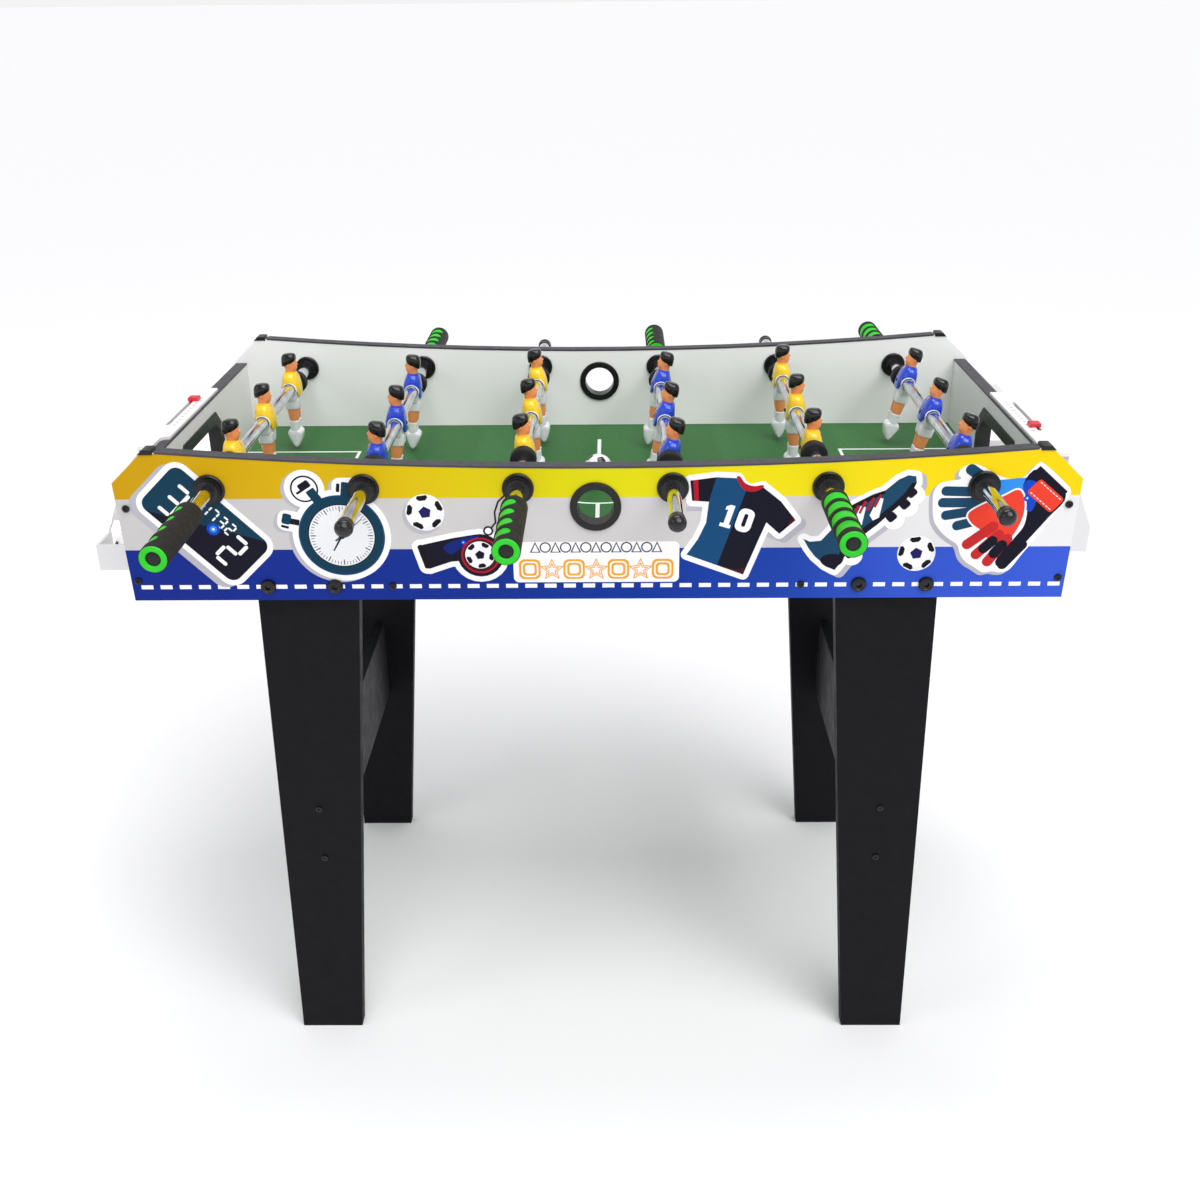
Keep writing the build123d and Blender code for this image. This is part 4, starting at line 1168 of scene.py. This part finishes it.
def finger(start, end, half):
    """A bar as a glove's finger, rounded at both ends."""
    return bar(start, end, 2 * half, 2 * half, half * 0.96)


def draw_gloves(art):
    border = curved([(322, 125), (330, 129), (340, 127), (352, 120), (366, 115), (378, 117), (388, 129),
                     (394, 129), (416, 110), (421, 101), (412, 86), (398, 62), (386, 44), (376, 28),
                     (368, 25), (360, 26), (352, 25), (344, 30), (336, 35), (330, 42), (326, 52),
                     (318, 58), (312, 63), (306, 70), (302, 78), (300, 92), (300, 104), (306, 112),
                     (322, 115), (320, 119)], 4)
    art.shape(moved(border, -3.2, -2.6), "shadow", 0)
    art.shape(border, "white", 1)
    art.shape(curved([(341, 122), (356, 113), (372, 114), (384, 116), (378, 96), (360, 80), (344, 78),
                      (334, 86), (334, 104), (338, 112)], 4), "sea", 2)
    for start, end in (((311, 104), (342, 103)), ((309, 93), (342, 93)), ((313, 81), (344, 86)),
                       ((324, 71), (350, 78))):
        art.shape(finger(start, end, 4.5), "sea", 3)
    art.shape(finger((331, 124), (344, 115), 5), "sea", 3)
    art.shape(curved([(352, 112), (366, 115), (382, 115), (378, 102), (366, 96), (356, 100)], 4),
              "bright", 3)
    art.shape(curved([(390, 124), (417, 100), (404, 78), (384, 50), (372, 30), (362, 36), (376, 58),
                      (384, 72), (384, 92), (378, 110)], 4), "navy", 4)
    art.shape(curved([(379, 112), (389, 112), (392, 98), (388, 84), (380, 92)], 4), "glow", 5)
    art.shape(finger((369, 33), (384, 52), 4.8), "navy", 4)
    palm = curved([(333, 83), (346, 92), (362, 99), (374, 105), (380, 98), (382, 84), (378, 68), (368, 52),
                   (356, 55), (346, 66), (336, 74)], 4)
    art.shape(grown(palm, 1.6), "white", 5)
    art.shape(palm, "coral", 6)
    for start, end in (((335, 53), (356, 70)), ((344, 43), (362, 62)), ((355, 36), (370, 58))):
        art.shape(finger(start, end, 4.8), "brick", 7)
    for start, end in (((350, 49), (357, 56)), ((360, 44), (366, 52))):
        art.shape(finger(start, end, 4.8), "navy", 8)
    art.shape([(388, 124), (391, 127), (418, 103), (415, 99)], "navy", 6)
    label = block(31, 17, -40, (399, 99), 3)
    art.shape(label, "coral", 7)
    for side in (-1, 1):
        for k in range(-3, 4):
            stitch = turned([(k * 3.9, side * 6.2)], -40, (399, 99))[0]
            art.shape(block(2.4, 0.8, -40, stitch), "white", 8)
    draw_glow(art, (383, 97), 3)


def make_artwork():
    """The same printed pictures on the outer faces of both side panels."""
    materials = [ink_material(name, colour) for name, colour in INKS.items()]
    for side, turn in (("front", 0), ("rear", pi)):
        art = Print()
        for draw in (draw_scoreboard, draw_stopwatch, draw_whistle, draw_banner, draw_shirt, draw_boot,
                     draw_gloves):
            draw(art)
        draw_football(art, (-153, 86), 17.4)
        draw_football(art, (290, 44), 17.2, None)
        art.bm.normal_update()
        bmesh.ops.triangulate(art.bm, faces=[f for f in art.bm.faces if len(f.verts) > 4])
        place = Matrix.Rotation(turn, 4, "Z") @ Matrix.Translation((0, -FACE_Y, BASE_Z))
        bmesh.ops.transform(art.bm, matrix=place, verts=art.bm.verts)
        piece = make_piece(f"{side}_artwork", art.bm, materials, "cabinet", 20)


# ---- floor, light and camera
def make_stage():
    mesh = bpy.data.meshes.new("studio_floor")
    half = 150.0
    mesh.from_pydata([(-half, -half, 0), (half, -half, 0), (half, half, 0), (-half, half, 0)], [],
                     [(0, 1, 2, 3)])
    mesh.materials.append(Finish("floor_white", (248, 248, 249), 0.8, specular=0.1).material)
    add_object("studio_floor", mesh)


def make_light(name, place, size, power):
    """A rectangular light aimed at the cabinet."""
    data = bpy.data.lights.new(name, "AREA")
    data.shape = "RECTANGLE"
    data.size, data.size_y = size
    data.energy = power
    light = add_object(name, data)
    light.location = place
    light.rotation_euler = (Vector((0, 0, 0.55)) - Vector(place)).to_track_quat("-Z", "Y").to_euler()


def make_world():
    """A studio that is bright round the horizon and dimmer overhead."""
    world = bpy.data.worlds.new("studio")
    world.use_nodes = True
    nodes, links = world.node_tree.nodes, world.node_tree.links
    coordinates = nodes.new("ShaderNodeTexCoord")
    split = nodes.new("ShaderNodeSeparateXYZ")
    ramp = nodes.new("ShaderNodeValToRGB")
    links.new(coordinates.outputs["Generated"], split.inputs[0])
    links.new(split.outputs["Z"], ramp.inputs[0])
    links.new(ramp.outputs[0], nodes["Background"].inputs["Color"])
    horizon, overhead = ramp.color_ramp.elements
    horizon.position, horizon.color = 0.12, (0.9, 0.9, 0.9, 1.0)
    overhead.position, overhead.color = 0.4, (0.5, 0.5, 0.51, 1.0)
    nodes["Background"].inputs["Strength"].default_value = 1.0
    bpy.context.scene.world = world


def make_lights():
    """A very soft sun from the front right and three weak lights."""
    make_world()
    data = bpy.data.lights.new("sun", "SUN")
    data.energy = 1.95
    data.angle = radians(50)
    add_object("sun", data).rotation_euler = Vector((0.3, -0.6, 1.0)).to_track_quat("Z", "Y").to_euler()
    make_light("key_light", (1.7, -1.9, 2.3), (0.8, 0.8), 7)
    make_light("fill_light", (-2.0, -1.2, 1.9), (0.7, 0.7), 4)
    make_light("top_light", (0.0, 0.3, 2.5), (1.4, 0.6), 12)
    bpy.context.scene.view_settings.view_transform = "Standard"


def make_camera():
    """The camera stands in front of the table, a little above it, tipped down and barely turned."""
    pitch, yaw, roll = radians(25.15), radians(-0.70), radians(-0.53)
    ahead = Vector((sin(yaw), cos(yaw), 0))
    forward = cos(pitch) * ahead - Vector((0, 0, sin(pitch)))
    level_right = Vector((cos(yaw), -sin(yaw), 0))
    level_up = sin(pitch) * ahead + Vector((0, 0, cos(pitch)))
    right = cos(roll) * level_right + sin(roll) * level_up
    up = cos(roll) * level_up - sin(roll) * level_right
    data = bpy.data.cameras.new("camera")
    data.sensor_width = 36.0
    data.lens = 38.9
    camera = add_object("camera", data)
    axes = Matrix((right, up, -forward)).transposed().to_4x4()
    camera.matrix_world = Matrix.Translation((0.0164, -1.2952, 1.0323)) @ axes
    bpy.context.scene.camera = camera


# ---- everything, in order
finish_cad_parts()
make_men()
make_grips()
make_fittings()
make_corner_caps()
make_fasteners()
make_balls()
make_artwork()
make_stage()
make_lights()
make_camera()
